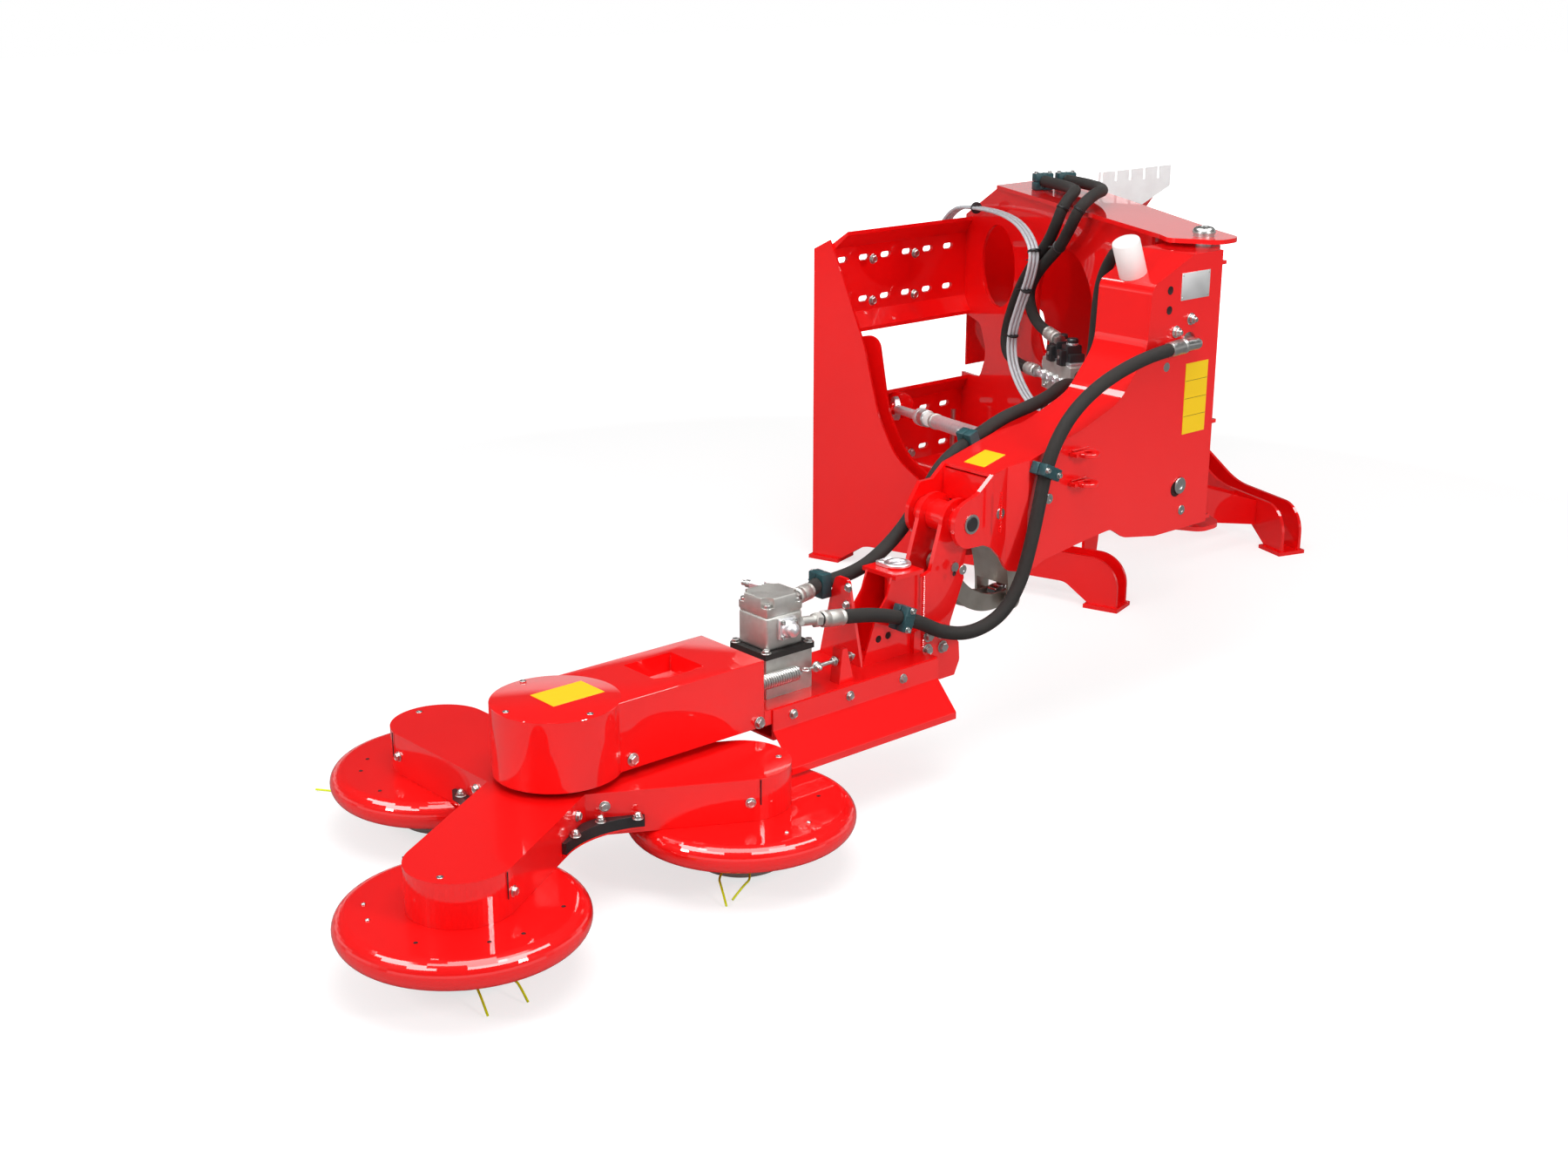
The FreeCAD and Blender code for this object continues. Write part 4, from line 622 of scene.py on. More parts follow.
def makeMotor():
    look = motorLook
    west, east, south, north, joint = (look[key] for key in ("west", "east", "south", "north", "joint"))
    body = block((west, south, look["foot"]), (east, north, joint - 1), 7, 3)
    band = block((west + 2, south + 2, joint - 2), (east - 2, north - 2, joint + 2), 4)
    cap = block((west, south, joint + 1), (east, north, look["top"]), 4)
    for x in (west, east):
        for y in (south, north):
            scallop = turned([(look["scallop"], 0), (look["scallop"], 60)], 24)
            cap = cutBy(cap, placed(scallop, (x, y, joint + 20)))
    inset = look["boltInset"]
    corners = [(x, y, joint + look["boltRise"]) for x in (west + inset, east - inset)
               for y in (south + inset, north - inset)]
    parts = [painted(part, "castAluminium") for part in (body, band, cap)]
    parts += fastened("socket", look["bolt"], (0, 0, 1), corners)
    # port flange on the near side
    port, half = look["port"], look["portHalf"]
    flange = block(port + Vector((-half, 0, -half)), port + Vector((half, 13, half)), 4)
    dome = placed(turned([(21, 0), (20, 5), (16, 10), (8, 14), (1, 15)]), port, (0, -1, 0))
    ball = turned([(1, -17), (9, -15), (15, -8), (17, 0), (15, 8), (9, 15), (1, 17)], 28)
    elbow = placed(ball, port + Vector((0, -12, 0)))
    parts += [painted(part, "galvanised") for part in (flange, dome, elbow)]
    places = [port + Vector((x, 0, z)) for x in look["portBoltAt"] for z in look["portBoltAt"]]
    parts += fastened("socket", look["portBolt"], (0, -1, 0), places)
    parts += hoseEnd(hoseRoutes["main"][-1], hoseRoutes["main"][-2], 38, "castAluminium")
    # port on the far side
    parts.append(painted(placed(turned([(20, 0), (20, 6), (14, 9)]), look["farPort"], (0, 1, 0)),
                         "galvanised"))
    parts += hoseEnd(hoseRoutes["motor"][0], hoseRoutes["motor"][1], 0, "castAluminium")
    # drain with its hexagon and nipple
    outwards = look["drainHeading"].normalized()
    for start, steps, sides, finish in (
            (0, [(9, 0), (9, 22)], 20, "galvanised"),
            (20, [(12, 0), (14, 2), (14, 34), (12, 36)], 6, "galvanised"),
            (56, [(9, 0), (9, 14), (6, 15), (6, 26), (3, 28)], 20, "zincPlate")):
        parts.append(painted(placed(turned(steps, sides), look["drain"] + outwards * start, outwards),
                             finish))
    assembled("motor_with_ports", "boom", parts, ["hydraulic_motor"])


# corner bolts of the motor's foot, and the gasket's thin edge
gasketLook = {"x": (-1434, -1308), "y": (-1403, -1297), "z": 397.5, "bolt": 9,
              "low": (-1440, -1409, 388.5), "high": (-1302, -1291, 390.5)}


def makeGasketBolts():
    look = gasketLook
    corners = [(x, y, look["z"]) for x in look["x"] for y in look["y"]]
    parts = fastened("bolt", look["bolt"], (0, 0, 1), corners)
    parts.append(painted(block(look["low"], look["high"]), "blackPlastic"))
    assembled("motor_foot_bolts", "boom", parts)


# two-part hose clamps
clampLook = {"length": 30, "half": 30, "depth": 25, "gap": 0.5, "bore": 17.5, "bolt": 6, "boltAt": 23,
             "ribAt": 8}
clampPlaces = {
    "arm": [((-621, -1487, 694), (-34, 0, -74), (0, -1, 0)), ((-630, -1239, 723), (-115, -3, -45),
                                                              (0, 1, 0))],
    "boom": [((-1037, -1430, 399), (-103, 0, 37), (0, -1, 0)),
             ((-1151.3, -1267, 468), (-1, 0, 0), (0, 1, 0))],
    "tower": [((512, -428, 1205.3), (-45, -106, 0), (0, 0, 1)),
              ((580, -460, 1205.3), (-45, -106, 0), (0, 0, 1))],
}


def clamp(at, along, outwards):
    look = clampLook
    half, length, depth, gap = look["half"], look["length"] / 2, look["depth"], look["gap"]
    lower = block((-length, -half, -depth), (length, half, -gap), 2.5)
    upper = block((-length, -half, gap), (length, half, depth), 2.5)
    parts = []
    for part in (lower, upper):
        hole = placed(turned([(look["bore"], 0), (look["bore"], 60)], 40), (-30, 0, 0), (1, 0, 0))
        parts.append(painted(cutBy(part, hole), "greenPlastic"))
    for y in (-look["ribAt"], look["ribAt"]):
        rib = block((-length - 0.5, y - 1.5, depth - 1.2), (length + 0.5, y + 1.5, depth + 0.6), 0.5, 1)
        parts.append(painted(rib, "greenPlastic"))
    places = [(0, y, depth - 1) for y in (-look["boltAt"], look["boltAt"])]
    parts += fastened("socket", look["bolt"], (0, 0, 1), places)
    return [seated(part, at, along, outwards) for part in parts]


def makeClamps():
    for place, body in (("arm", "arm"), ("boom", "boom"), ("tower", "frame")):
        parts = [part for spot in clampPlaces[place] for part in clamp(*spot)]
        assembled(f"{place}_clamps", body, parts, [f"{place}_hose_clamps"])


# valve block with two coils on the tower's near wall; X runs along the wall from its rear corner
def atWall(part):
    return seated(part, (606, -30, 0), (-0.394, -0.919, 0), (0, 0, 1))


def wallBox(low, high, finish, bevel=1.5):
    return painted(block(low, high, bevel, 2), finish)


def wallRod(at, direction, steps, finish, sides=28):
    return painted(placed(turned(steps, sides), at, direction), finish)


valveLook = {"coils": (808, 878), "plug": (776, -75, 690), "plugs": 5, "plugPitch": 40,
             "screw": (790, -75, 664), "screws": 3, "screwPitch": 50}


def makeValve():
    look = valveLook
    up, outwards, along = (0, 0, 1), (0, -1, 0), (-1, 0, 0)
    parts = [wallBox((760, -75, 650), (950, -10, 742), "castAluminium", 3),
             wallBox((772, -72, 742), (944, -14, 752), "galvanised"),
             wallBox((790, -68, 751), (930, -20, 776), "blackPlastic", 3)]
    for x in look["coils"]:
        parts += [wallBox((x, -72, 746), (x + 40, -24, 800), "blackPlastic", 4),
                  wallRod((x + 20, -46, 798), up, [(14, 0), (18, 1), (18, 6), (14, 8)], "galvanised"),
                  wallRod((x + 20, -46, 804), up, [(17, 0), (17, 10), (14, 14), (7, 15)], "blackPlastic", 12),
                  wallBox((x + 3, -88, 740), (x + 35, -70, 786), "blackPlastic", 3),
                  wallRod((x + 19, -88, 764), outwards, [(5, 0), (5, 1.6), (3, 2.2)], "zincPlate", 20)]
    # plugs, screws, ports and the thin plate beside the first coil
    x, y, z = look["plug"]
    plug = [(13, 0), (13, 7), (11, 9), (6, 9), (5, 6)]
    parts += [wallRod((x + look["plugPitch"] * i, y, z), outwards, plug, "galvanised", 6)
              for i in range(look["plugs"])]
    x, y, z = look["screw"]
    screw = [(8, 0), (8, 5), (5, 5), (4, 3)]
    parts += [wallRod((x + look["screwPitch"] * i, y, z), outwards, screw, "zincPlate", 20)
              for i in range(look["screws"])]
    parts += [wallRod((764, -44, 713), along, [(15, 0), (20, 2), (20, 16), (17, 18), (17, 40), (14, 42)],
                      "galvanised", 6),
              wallRod((764, -60, 682), along, [(12, 0), (14, 1), (14, 12), (12, 14), (12, 60)],
                      "galvanised", 24),
              wallBox((800, -74, 778), (802, -30, 800), "zincPlate", 0.5)]
    parts = [atWall(part) for part in parts]
    parts += hoseEnd(hoseRoutes["towerNear"][-1], hoseRoutes["towerNear"][-2], 6)
    parts += hoseEnd(hoseRoutes["towerFar"][-1], hoseRoutes["towerFar"][-2], 0)
    assembled("valve_with_coils", "frame", parts, ["valve_block"])


# steel sleeves where the main hose and the loop hose enter the arm
sleeveLook = {"main": ((-176, -1487, 931.5), (95, 0, 4)), "loop": ((-67, -1236, 950), (0, -1, 0))}


def makeElbow():
    sleeve = turned([(17.4, 0), (19.4, 1), (19.4, 44), (18.4, 46), (18.4, 49), (19.4, 51), (19.4, 58),
                     (16, 62)])
    sleeves = {"main": sleeve, "loop": another(sleeve)}
    parts = [painted(placed(part, *sleeveLook[key]), "zincPlate") for key, part in sleeves.items()]
    assembled("elbow_sleeve", "arm", parts)


# belt tensioner: spring, hook, link, eye bolt and nuts in a row along X
tensionerLook = {"wire": 2.9, "coil": 14.6, "pitch": 6.9, "turns": 17, "start": -1482, "y": -1428, "z": 343,
                 "hook": (10, 2.4, -1359), "link": (9, 2.6, -1338), "neck": (-1330, -1314, 3.2),
                 "eye": (9, 4, -1306), "bolt": (-1300, -1192, 5), "nuts": ((-1250, -1), (-1205, 1))}


def ringOf(radius, thickness, at, direction):
    bpy.ops.mesh.primitive_torus_add(major_radius=radius * millimetre, minor_radius=thickness * millimetre,
                                     major_segments=32, minor_segments=12)
    return placed(bpy.context.object, at, direction)


def makeTensioner():
    look = tensionerLook
    y, z = look["y"], look["z"]
    bpy.ops.mesh.primitive_circle_add(vertices=10, radius=look["wire"] * millimetre, location=(0, 0, 0))
    editing(True)
    bpy.ops.transform.rotate(value=math.pi / 2, orient_axis="X", center_override=(0, 0, 0))
    bpy.ops.transform.translate(value=(look["coil"] * millimetre, 0, 0))
    editing(False)
    spring = shaped(bpy.context.object, "SCREW", screw_offset=look["pitch"] * millimetre,
                    iterations=look["turns"], steps=20, render_steps=20, axis="Z")
    parts = [painted(placed(spring, (look["start"], y, z), (1, 0, 0)), "zincPlate")]
    for key, direction in (("hook", (0, 1, 0)), ("link", (0, 0, 1)), ("eye", (0, 1, 0))):
        radius, thickness, x = look[key]
        parts.append(painted(ringOf(radius, thickness, (x, y, z), direction), "zincPlate"))
    for key, sides in (("neck", 16), ("bolt", 20)):
        start, end, radius = look[key]
        parts.append(rod((start, y, z), (end, y, z), radius, "zincPlate", sides))
    parts += fastened("capNut", 8, (0, -1, 0), [(look["eye"][2], y - 4, z)])
    for x, heading in look["nuts"]:
        parts += fastened("nut", 9, (heading, 0, 0), [(x, y, z)])
    assembled("tensioner_spring", "boom", parts, ["belt_tensioner"])


# filler cap of the arm's reservoir
capLook = {"radius": 36, "height": 96, "round": 5, "lean": 22.8, "foot": (-181.6, -1364, 1107)}


def makeCap():
    look = capLook
    r, h, c = look["radius"], look["height"], look["round"]
    steps = [(r - 1.5, 0), (r - 0.4, 1), (r - 0.4, h - c), (r - 1.6, h - 2), (r - c, h), (5, h),
             (4.5, h - 1.5), (1, h - 1.5)]
    lean = math.radians(look["lean"])
    shell = painted(placed(turned(steps, 72), look["foot"], (-math.sin(lean), 0, math.cos(lean))),
                    "whitePlastic")
    assembled("filler_cap", "arm", [shell], ["reservoir_cap"], 50)


# trimmer heads: a grey glide dish under a black spool, with two lines
headLook = {"line": 2.5, "bend": (0, 0, 5), "centres": [(-1629, -1546), (-2001, -939), (-2340, -1565)],
            "ends": [[(-119, -67, 30), (-160, -145, 5), (-70, -120, 30), (-133, -132, 5)],
                     [(-60, 110, 30), (-142, 342, 5), (60, 110, 30), (128, 190, 5)],
                     [(-44, -105, 30), (-65, -177, 5), (25, -134, 30), (20, -184, 5)]]}


def makeHead(number, centre):
    look = headLook
    middle = Vector((*centre, 0))
    dish = turned([(20, 0), (60, 1), (84, 5), (97, 12), (101.5, 20), (101.5, 24), (98, 27), (90, 28)], 64)
    spool = turned([(90, 28), (92, 30), (92, 40), (86, 42), (86, 50), (78, 58), (60, 62), (18, 62)], 64)
    shaft = turned([(14, 61), (14, 150), (13, 166)])
    parts = [painted(placed(part, middle), finish) for part, finish in
             ((dish, "glidePlate"), (spool, "trimmerPlastic"), (shaft, "zincPlate"))]
    core = middle + Vector((0, 0, 30))
    ends = [middle + Vector(end) for end in look["ends"][number]]
    for start, end in (ends[:2], ends[2:]):
        bend = start + (end - start) * 0.45 + Vector(look["bend"])
        parts.append(tube([core.lerp(start, 0.62), start, bend, end], look["line"], "trimmerLine")[0])
    assembled(f"trimmer_spool_{number + 1}", f"trimmer_{number + 1}", parts,
              [f"trimmer_head_{number + 1}"])


# boss cap on the bracket, with its keeper plate and bolt
bossLook = {"at": (-980, -1350, 500), "keeper": ((-1012, -1352, 500), (-962, -1306, 503)),
            "bolt": (-1002, -1316, 503)}


def makeBossCap():
    look = bossLook
    ring = turned([(33, 0), (33, 5), (31, 7), (22, 7), (20, 5), (20, 2), (16, 1), (1, 1)], 48)
    parts = [painted(placed(ring, look["at"]), "galvanised"),
             painted(block(*look["keeper"], 6, 3), "galvanised")]
    parts += fastened("dome", 9, (0, 0, 1), [look["bolt"]])
    assembled("boss_cap", "boom", parts)


# pivot pin's dark end plug
def makePivotPlug():
    plug = turned([(17.5, 0), (17.5, 1.2), (16.5, 2), (1, 2)], 40)
    parts = [painted(placed(plug, (-820, -1439, 588), (0, -1, 0)), "blackPlastic")]
    assembled("pivot_plug", "arm", parts)


# stay: collar, clip ring and sticker on the screw's sleeve, each so far short of the frame's eye
stayLook = {"arm": Vector((-460, -1245, 680)), "eye": Vector((204.7, -116.1, 487)),
            "rings": [(420, [(21.2, 0), (25, 2), (25, 60), (23, 62), (21.2, 64)], "zincPlate"),
                      (520, [(21.2, 0), (23.5, 1), (23.5, 22), (21.2, 23)], "castAluminium"),
                      (490, [(21.4, 0), (21.5, 0.5), (21.5, 62), (21.4, 62.5)], "stickerWhite")]}


def makeStayTrim():
    eye = stayLook["eye"]
    line = (eye - stayLook["arm"]).normalized()
    parts = [painted(placed(turned(steps, 40), eye - line * short, line), finish)
             for short, steps, finish in stayLook["rings"]]
    assembled("stay_trim", "stay_sleeve", parts)


# bare labels and the bare type plate
labelLook = {"side": ((-72, -1463, 692), (19, -1461.6, 878)), "lines": (738.5, 785, 831.5),
             "nose": ((-38, -34, 0), (38, 34, 0.8)), "noseAt": (-690, -1350, 710.6),
             "noseAlong": (0.97, 0, 0.24),
             "noseUp": (-0.24, 0, 0.97), "plate": ((-110, -1463.4, 1044), (3, -1461.6, 1113)),
             "rivetX": (-105, -2), "rivetZ": (1050, 1107), "drum": ((-65, -43, 0), (65, 43, 0.8)),
             "drumAt": (-1930, -1345, 411)}


def makeLabels():
    look = labelLook
    nose = seated(block(*look["nose"], 0.3, 1), look["noseAt"], look["noseAlong"], look["noseUp"])
    parts = [painted(block(*look["side"], 0.4, 1), "labelYellow"), painted(nose, "labelYellow")]
    parts += [painted(block((-70, -1463.15, z), (17, -1462.6, z + 1)), "labelLine") for z in look["lines"]]
    parts.append(painted(block(*look["plate"], 0.5), "typePlate"))
    rivets = [(x, -1463.2, z) for x in look["rivetX"] for z in look["rivetZ"]]
    parts += fastened("dome", 2.6, (0, -1, 0), rivets)
    assembled("arm_labels", "arm", parts)
    drum = painted(block(*look["drum"], 0.4, 1), "labelYellow")
    assembled("drum_label", "boom", [placed(drum, look["drumAt"])])


# belt cover: the drum over the star's hub and the box over the belt, with its sunk window
coverLook = {"hub": (-1965, -1350), "radius": 138, "low": 255, "high": 411, "wall": 4, "sink": 45,
             "south": -1460, "north": -1240, "east": -1488, "skirt": 52,
             "window": (-1740, -1610, -1405, -1283)}


def makeCover():
    look = coverLook
    x, y = look["hub"]
    r, low, high, wall = look["radius"], look["low"], look["high"], look["wall"]
    south, north, east = look["south"], look["north"], look["east"]
    left, right, front, back = look["window"]

    def core():
        inner = r - wall
        return placed(turned([(inner, 0), (inner, high - low - wall + 5)], 96), (x, y, low - 5))

    top = high - low
    drum = placed(turned([(r, 0), (r, top - 2), (r - 0.7, top - 0.6), (r - 2, top)], 96), (x, y, low))
    box = block((x, south, low), (east, north, high - 0.3), 2.2, 3)
    under = high - look["skirt"]
    box = cutBy(box, block((x - 30, south + wall, low - 10), (east - wall, north - wall, under)))
    box = cutBy(box, block((left, front, high - look["sink"]), (right, back, high + 10), 5))
    box = cutBy(box, core())
    drum = cutBy(drum, core())
    drum = cutBy(drum, block((x + 40, south + wall, low - 10), (x + 200, north - wall, under)))
    parts = [painted(part, "redPowderCoat") for part in (drum, box)]
    assembled("belt_cover_shell", "boom", parts, ["belt_cover"], 25)


# plate across the back of the tower, behind the windows of its walls
rearPlateLook = {"low": (612, -30, 560), "high": (908, -24, 1062)}


def makeRearPlate():
    plate = painted(block(rearPlateLook["low"], rearPlateLook["high"], 1, 1), "redPowderCoat")
    assembled("tower_rear_plate", "frame", [plate])


# the pair of ears on the arm's near side
earLook = {"x": -470, "y": -1490, "levels": (712, 637), "radius": 28, "thickness": 10, "hole": 9.5}


def makeEars():
    look = earLook
    x, y, radius, thickness = look["x"], look["y"], look["radius"], look["thickness"]
    parts = []
    for level in look["levels"]:
        low = level - thickness / 2
        tip = placed(turned([(radius - 1, 0), (radius, 1), (radius, thickness - 1),
                             (radius - 1, thickness)], 40),
                     (x, y, low))
        root = block((x - radius - 12, y + 4, low + 0.4), (x + radius + 12, -1461.5, low + thickness - 0.4),
                     0.8, 2)
        for part in (tip, root):
            hole = placed(turned([(look["hole"], 0), (look["hole"], 40)], 24), (x, y, low - 10))
            parts.append(painted(cutBy(part, hole), "redPowderCoat"))
    assembled("arm_near_ears", "arm", parts)


# beads of weld along lines
weldLook = {"pitch": 5.2, "width": 4.2, "height": 2.4, "ring": ((-820, -1424, 588), 33),
            "postX": -948, "postSides": (-1408, -1292), "postFrom": 300, "postTo": 480,
            "nearY": -1463, "noseX": -749, "noseFrom": 560, "noseTo": 660, "earFrom": -500, "earTo": -440,
            "earGap": 8}


def bead(points):
    look = weldLook
    parts = []
    for start, end in zip(points, points[1:]):
        start, end = Vector(start), Vector(end)
        count = max(1, round((end - start).length / look["pitch"]))
        for i in range(count):
            bpy.ops.mesh.primitive_uv_sphere_add(segments=10, ring_count=6, radius=millimetre)
            drop = bpy.context.object
            drop.data.transform(Matrix.Diagonal((look["width"], look["width"], look["height"], 1)))
            parts.append(placed(drop, start.lerp(end, (i + 0.5) / count)))
    return painted(merged(parts), "redPowderCoat")


def circlePoints(centre, radius, steps=24):
    # once round in the XZ plane
    turns = [2 * math.pi * i / steps for i in range(steps + 1)]
    return [Vector(centre) + Vector((math.cos(turn), 0, math.sin(turn))) * radius for turn in turns]


def makeWelds():
    look = weldLook
    post = [bead(circlePoints(*look["ring"]))]
    post += [bead([(look["postX"], y, look["postFrom"]), (look["postX"], y, look["postTo"])])
             for y in look["postSides"]]
    assembled("post_welds", "boom", post)
    near = look["nearY"]
    seam = [bead([(look["noseX"], near, look["noseFrom"]), (look["noseX"], near, look["noseTo"])])]
    for level in earLook["levels"]:
        for z in (level + look["earGap"], level - look["earGap"]):
            seam.append(bead([(look["earFrom"], near, z), (look["earTo"], near, z)]))
    assembled("arm_welds", "arm", seam)


# black ties around the hoses and cables: radius of the band, and places on the route
tieLook = {"half": 2.5, "edge": 0.3, "thick": 1.5, "tail": 15, "tailHalf": 1.6}
tiePlaces = {"cables": (17, [(228, -664, 1052), (240, -620, 930), (280, -535, 780), (214, -735, 586),
                             (480, -180, 1106)]),
             "towerNear": (18, [(228, -762, 1180), (290, -612, 1010)]),
             "towerFar": (18, [(176, -872, 1190), (222, -762, 1070)])}


def tie(path, index, radius):
    look = tieLook
    half, outer = look["half"], radius + look["thick"]
    inset = half - look["edge"]
    band = turned([(radius, -half), (outer, -inset), (outer, inset), (radius, half)], 28)
    tail = block((radius, -look["tailHalf"], -2), (radius + look["tail"], look["tailHalf"], -0.8))
    along = path[index + 1] - path[index - 1]
    return [painted(placed(part, path[index] / millimetre, along), "blackPlastic") for part in (band, tail)]


def makeTies():
    parts = []
    for key, (radius, places) in tiePlaces.items():
        line = route(hoseRoutes[key])
        path = middleLine(line)
        bpy.data.objects.remove(line)
        for place in places:
            parts += tie(path, nearest(path, place), radius)
    assembled("cable_ties", "frame", parts)


# screws, slits, cap nuts and small holes of the star, the slits and holes being dark blocks and discs of
# painted shade; the nuts repeat round its middle
starLook = {"middle": Vector((-1990, -1350, 0)),
            "arms": [Vector((0.879, -0.477, 0)), Vector((-0.026, 1.0, 0)), Vector((-0.853, -0.522, 0))],
            "screwOut": 84, "screwTop": 242, "side": 110, "sideBolts": [(411, 190), (104, 212)],
            "slitOut": 433, "slit": ((-1.2, -0.6, 183), (1.2, 0.6, 240)),
            "nuts": [(-60, -181, 187), (19, -158, 187), (87, -195, 187)],
            "top": 147, "rimFrom": 196, "rimFall": 0.12,
            "holes": [(222, -108, "hole"), (190, -71, "dome"), (183, -50, "dome"), (170, -4, "hole"),
                      (171, 43, "hole"), (211, 31, "hole"), (180, 65, "hole"), (210, 144, "hole"),
                      (196, 104, "hole")]}


def makeStarScrews():
    look = starLook
    middle, up = look["middle"], Vector((0, 0, 1))
    screws, sides, slits, holes = [], [], [], []
    for head, arm in zip(headLook["centres"], look["arms"]):
        left = Vector((-arm.y, arm.x, 0))
        screws.append(Vector((*head, look["screwTop"])) + arm * look["screwOut"])
        for normal in (-left, left):
            flank = middle + normal * look["side"]
            for along, z in look["sideBolts"]:
                sides += fastened("bolt", 9, normal, [flank + arm * along + up * z])
            # the slit is a dark block of painted shade
            slit = painted(block(*look["slit"]), "paintedHoleShade")
            slits.append(seated(slit, flank + arm * look["slitOut"], arm, up))
        # hole entries are dark discs of painted shade; dome entries are heads
        for radius, angle, kind in look["holes"]:
            heading = math.atan2(arm.y, arm.x) + math.radians(angle)
            height = look["top"] - max(0, radius - look["rimFrom"]) * look["rimFall"]
            out = Vector((math.cos(heading), math.sin(heading), 0)) * radius
            holes += fastened(kind, 4.5, up, [Vector((*head, height)) + out])
    nuts = []
    for i in range(3):
        turn = Matrix.Rotation(math.radians(120 * i), 4, "Z")
        for spot in look["nuts"]:
            nuts += fastened("capNut", 9, up, [middle + turn @ Vector(spot)])
    assembled("star_screws", "star", fastened("pin", 7, up, screws) + sides + slits + nuts + holes)


# all other bolts, as kind, size, direction and places; the hole kind is a flat dark disc of painted shade
panelBolts = [(x, -74, z) for x in (319, 136, 1201, 1384) for z in (965.5, 835.5, 444, 314)]
boltGroups = {
    "cover_bolts": ("boom", [
        ("pin", 7, (0, 0, 1), [(-1959, -1222, 411), (-2085, -1347, 411), (-1961, -1469, 411)]),
        ("bolt", 11, (0, -1, 0), [(-1850, -1460, 277), (-1503, -1460, 268)]),
        ("bolt", 9, (0, -1, 0), [(-1407, -1464, 265), (-1235, -1464, 265), (-1066, -1464, 265)]),
        ("bolt", 12, (0, -1, 0), [(-931, -1407, 289), (-928, -1407, 324), (-884, -1407, 323),
                                  (-879, -1407, 285)]),
        ("hole", 9, (0, -1, 0), [(-1081, -1395, 348), (-1050, -1395, 350)]),
        ("bolt", 9, (-1, 0, 0), [(-1136, -1350, 476), (-1136, -1344, 431)]),
        ("pin", 12, (0, -1, 0), [(-832, -1423, 474)]),
        ("hole", 6, (0, -1, 0), [(-861, -1423, 470)])]),
    "arm_bolts": ("arm", [
        ("hole", 21, (0, -1, 0), [(-82, -1462, 549)]),
        ("pin", 22, (0, -1, 0), [(-69, -1464, 556)]),
        ("pin", 13, (0, -1, 0), [(-54, -1462, 487), (-577, -1462, 612)]),
        ("nut", 12, (0, -1, 0), [(-64, -1462, 993), (-122, -1462, 967)]),
        ("pin", 14, (0, -1, 0), [(-721, -1436, 596)]),
        ("hole", 11, (0, -1, 0), [(-153, -1462, 1075), (-153, -1462, 1025)])]),
    "frame_bolts": ("frame", [
        ("dome", 30, (0, 0, 1), [(80, -1376, 1188)]),
        ("bolt", 12, (0, -1, 0), panelBolts)]),
}


def makeBolts():
    for name, (body, groups) in boltGroups.items():
        assembled(name, body, [part for group in groups for part in fastened(*group)])


makeMotor()
makeGasketBolts()
makeClamps()
makeValve()
makeElbow()
makeTensioner()
makeCap()
for number, centre in enumerate(headLook["centres"]):
    makeHead(number, centre)
makeBossCap()
makePivotPlug()
makeStayTrim()
makeLabels()
makeStarScrews()
makeBolts()
makeCover()
makeRearPlate()
makeEars()
makeWelds()
makeTies()
for master in fasteners.values():
    bpy.data.objects.remove(master)


# floor, world and lamps; the panels are bright bands of sky that show only in reflections
studioLooks = {"floorForLight": 0.75, "floorInView": 0.40, "floorInGloss": 0.26, "floorLift": 0.70,
               "floorSize": 60, "floorMiddle": (-0.5, -0.9), "liftFrom": 9, "liftTo": 30,
               "skyForLight": 0.50, "skyInGlossLow": 0.65, "skyInGlossHigh": 0.05, "fadeFrom": 0.16,
               "fadeTo": 0.27}
panelLooks = {"low": 0.74, "high": 0.97, "reach": 0.34, "glow": 7,
              "towards": [(-0.894, 0.448), (0.46, -0.888)]}


def makeFloor():
    look = studioLooks
    bpy.ops.mesh.primitive_plane_add(size=look["floorSize"], location=(0, 0, 0))
    floor = bpy.context.object
    floor.name = "floor"
    finish = Finish("floorWhite")
    seen = finish.node("ShaderNodeLightPath", output="Is Camera Ray")
    gloss = finish.node("ShaderNodeLightPath", output="Is Glossy Ray")
    x, y = finish.axis("X") - look["floorMiddle"][0], finish.axis("Y") - look["floorMiddle"][1]
    far = finish.ramp(x * x + y * y, look["liftFrom"], look["liftTo"])
    glow = finish.node("ShaderNodeEmission", Strength=seen * (look["floorLift"] + far))
    light, view, shine = (look[key] for key in ("floorForLight", "floorInView", "floorInGloss"))
    level = light + (view - light) * seen + (shine - light) * gloss
    colour = finish.node("ShaderNodeCombineColor", Red=level, Green=level, Blue=level)
    finish.set(Base_Color=colour, Roughness=0.8, Specular_IOR_Level=0.0)
    lit = Wire(finish.tree, finish.shader.outputs[0])
    both = finish.node("ShaderNodeAddShader", sockets={0: lit, 1: glow})
    finish.feed(finish.tree.nodes["Material Output"].inputs["Surface"], both)
    floor.data.materials.append(finish.material)


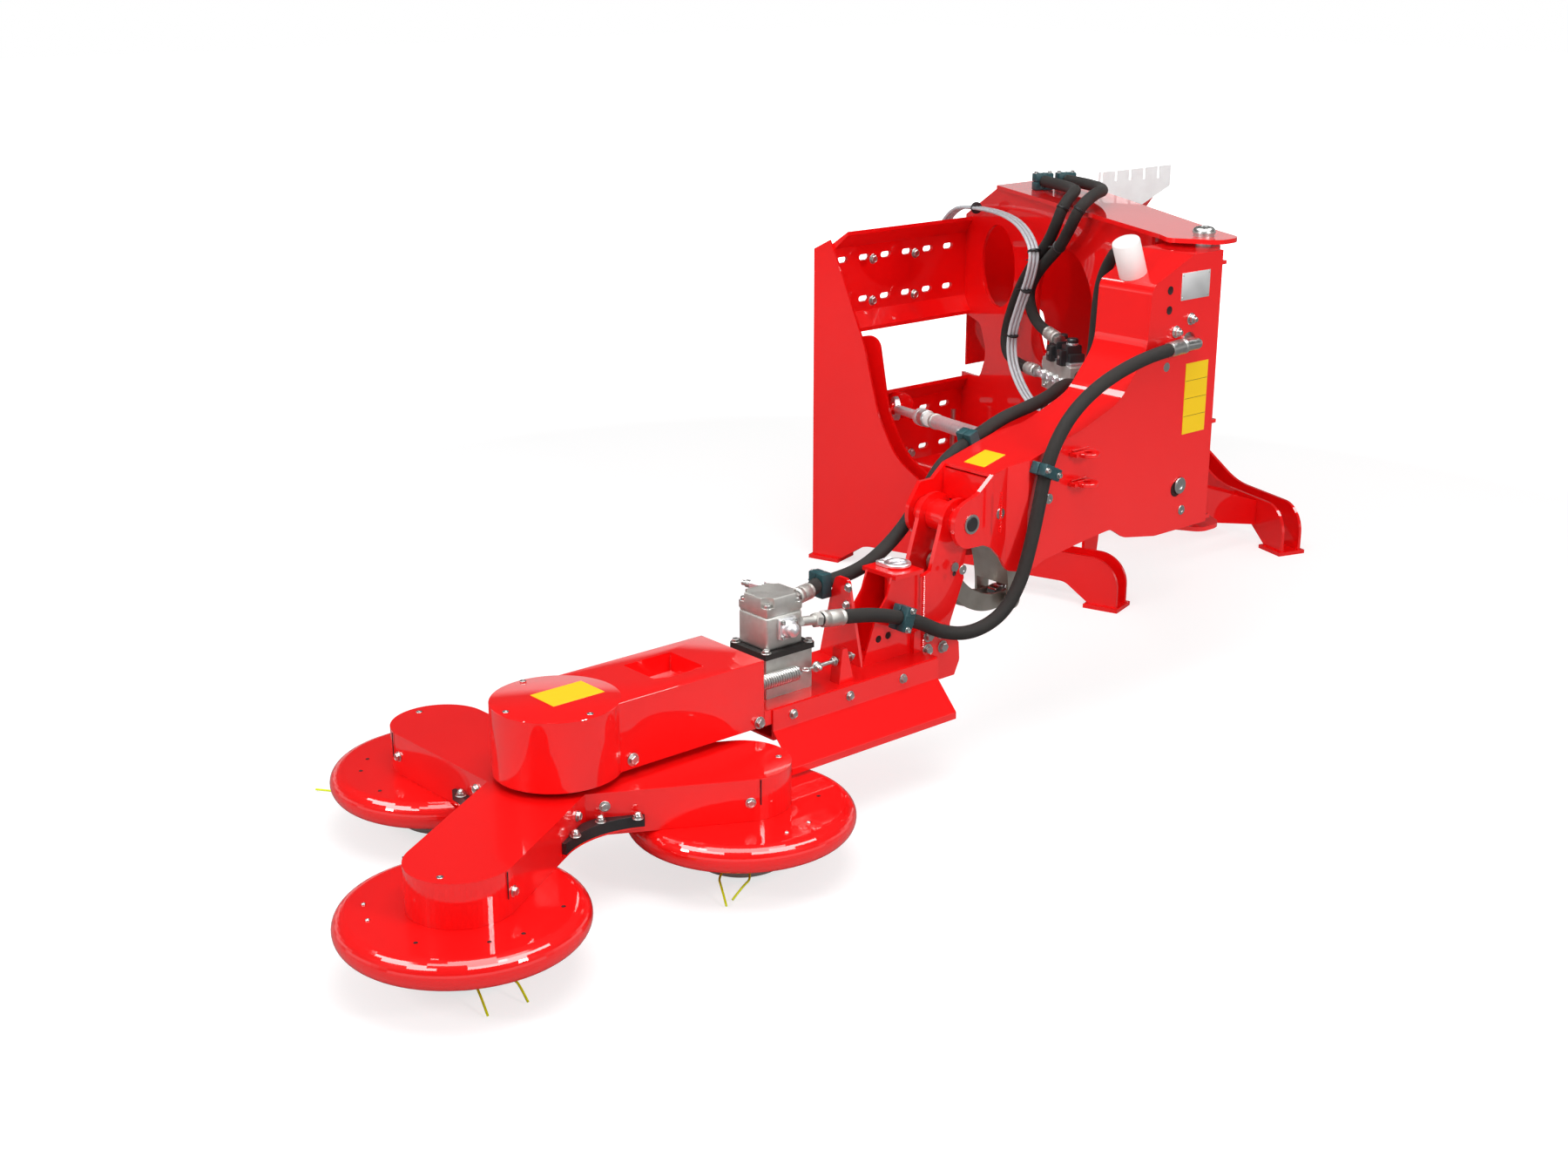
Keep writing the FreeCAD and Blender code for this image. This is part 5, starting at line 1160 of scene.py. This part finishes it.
def makeWorld():
    # white to the camera, soft for light, and in gloss bright low down and dim overhead
    look = studioLooks
    world = bpy.data.worlds.new("studio")
    bpy.context.scene.world = world
    world.use_nodes = True
    sky = Shading(world.node_tree)
    seen = sky.node("ShaderNodeLightPath", output="Is Camera Ray")
    gloss = sky.node("ShaderNodeLightPath", output="Is Glossy Ray")
    place = sky.node("ShaderNodeTexCoord", output="Generated")
    height = sky.node("ShaderNodeSeparateXYZ", output="Z", Vector=place)
    low, high = look["skyInGlossLow"], look["skyInGlossHigh"]
    inGloss = low + (high - low) * sky.ramp(height, look["fadeFrom"], look["fadeTo"])
    inBand = (height > panelLooks["low"]) * (height < panelLooks["high"])
    for towards in panelLooks["towards"]:
        ends = {0: place, 1: (*towards, 0)}
        facing = sky.node("ShaderNodeVectorMath", {"operation": "DOT_PRODUCT"}, "Value", ends)
        inGloss = inGloss + panelLooks["glow"] * inBand * (facing > panelLooks["reach"])
    background = sky.tree.nodes["Background"]
    sky.feed(background.inputs["Color"], rgb(1, 1, 1))
    strength = seen + (1 - seen) * (gloss * inGloss + (1 - gloss) * look["skyForLight"])
    sky.feed(background.inputs["Strength"], strength)


makeFloor()
makeWorld()
lampLooks = {
    "overhead": {"place": (-1.8, -1.8, 4.2), "aim": (-0.6, -1.0, 0.3), "size": 3.0, "power": 105},
    "front": {"place": (-0.4, -6.5, 3.0), "aim": (-0.3, -1.3, 0.5), "size": 1.0, "power": 95},
    "left": {"place": (-6.0, -0.9, 2.8), "aim": (-0.6, -1.0, 0.5), "size": 1.0, "power": 60},
}
for name, look in lampLooks.items():
    lamp = bpy.data.objects.new(name, bpy.data.lights.new(name, "AREA"))
    lamp.data.shape = "SQUARE"
    lamp.data.size = look["size"]
    lamp.data.energy = look["power"]
    lamp.location = look["place"]
    lamp.rotation_euler = (Vector(look["aim"]) - Vector(look["place"])).to_track_quat("-Z", "Y").to_euler()
    bpy.context.scene.collection.objects.link(lamp)
bpy.context.scene.view_settings.view_transform = "Standard"
print("studio ready")
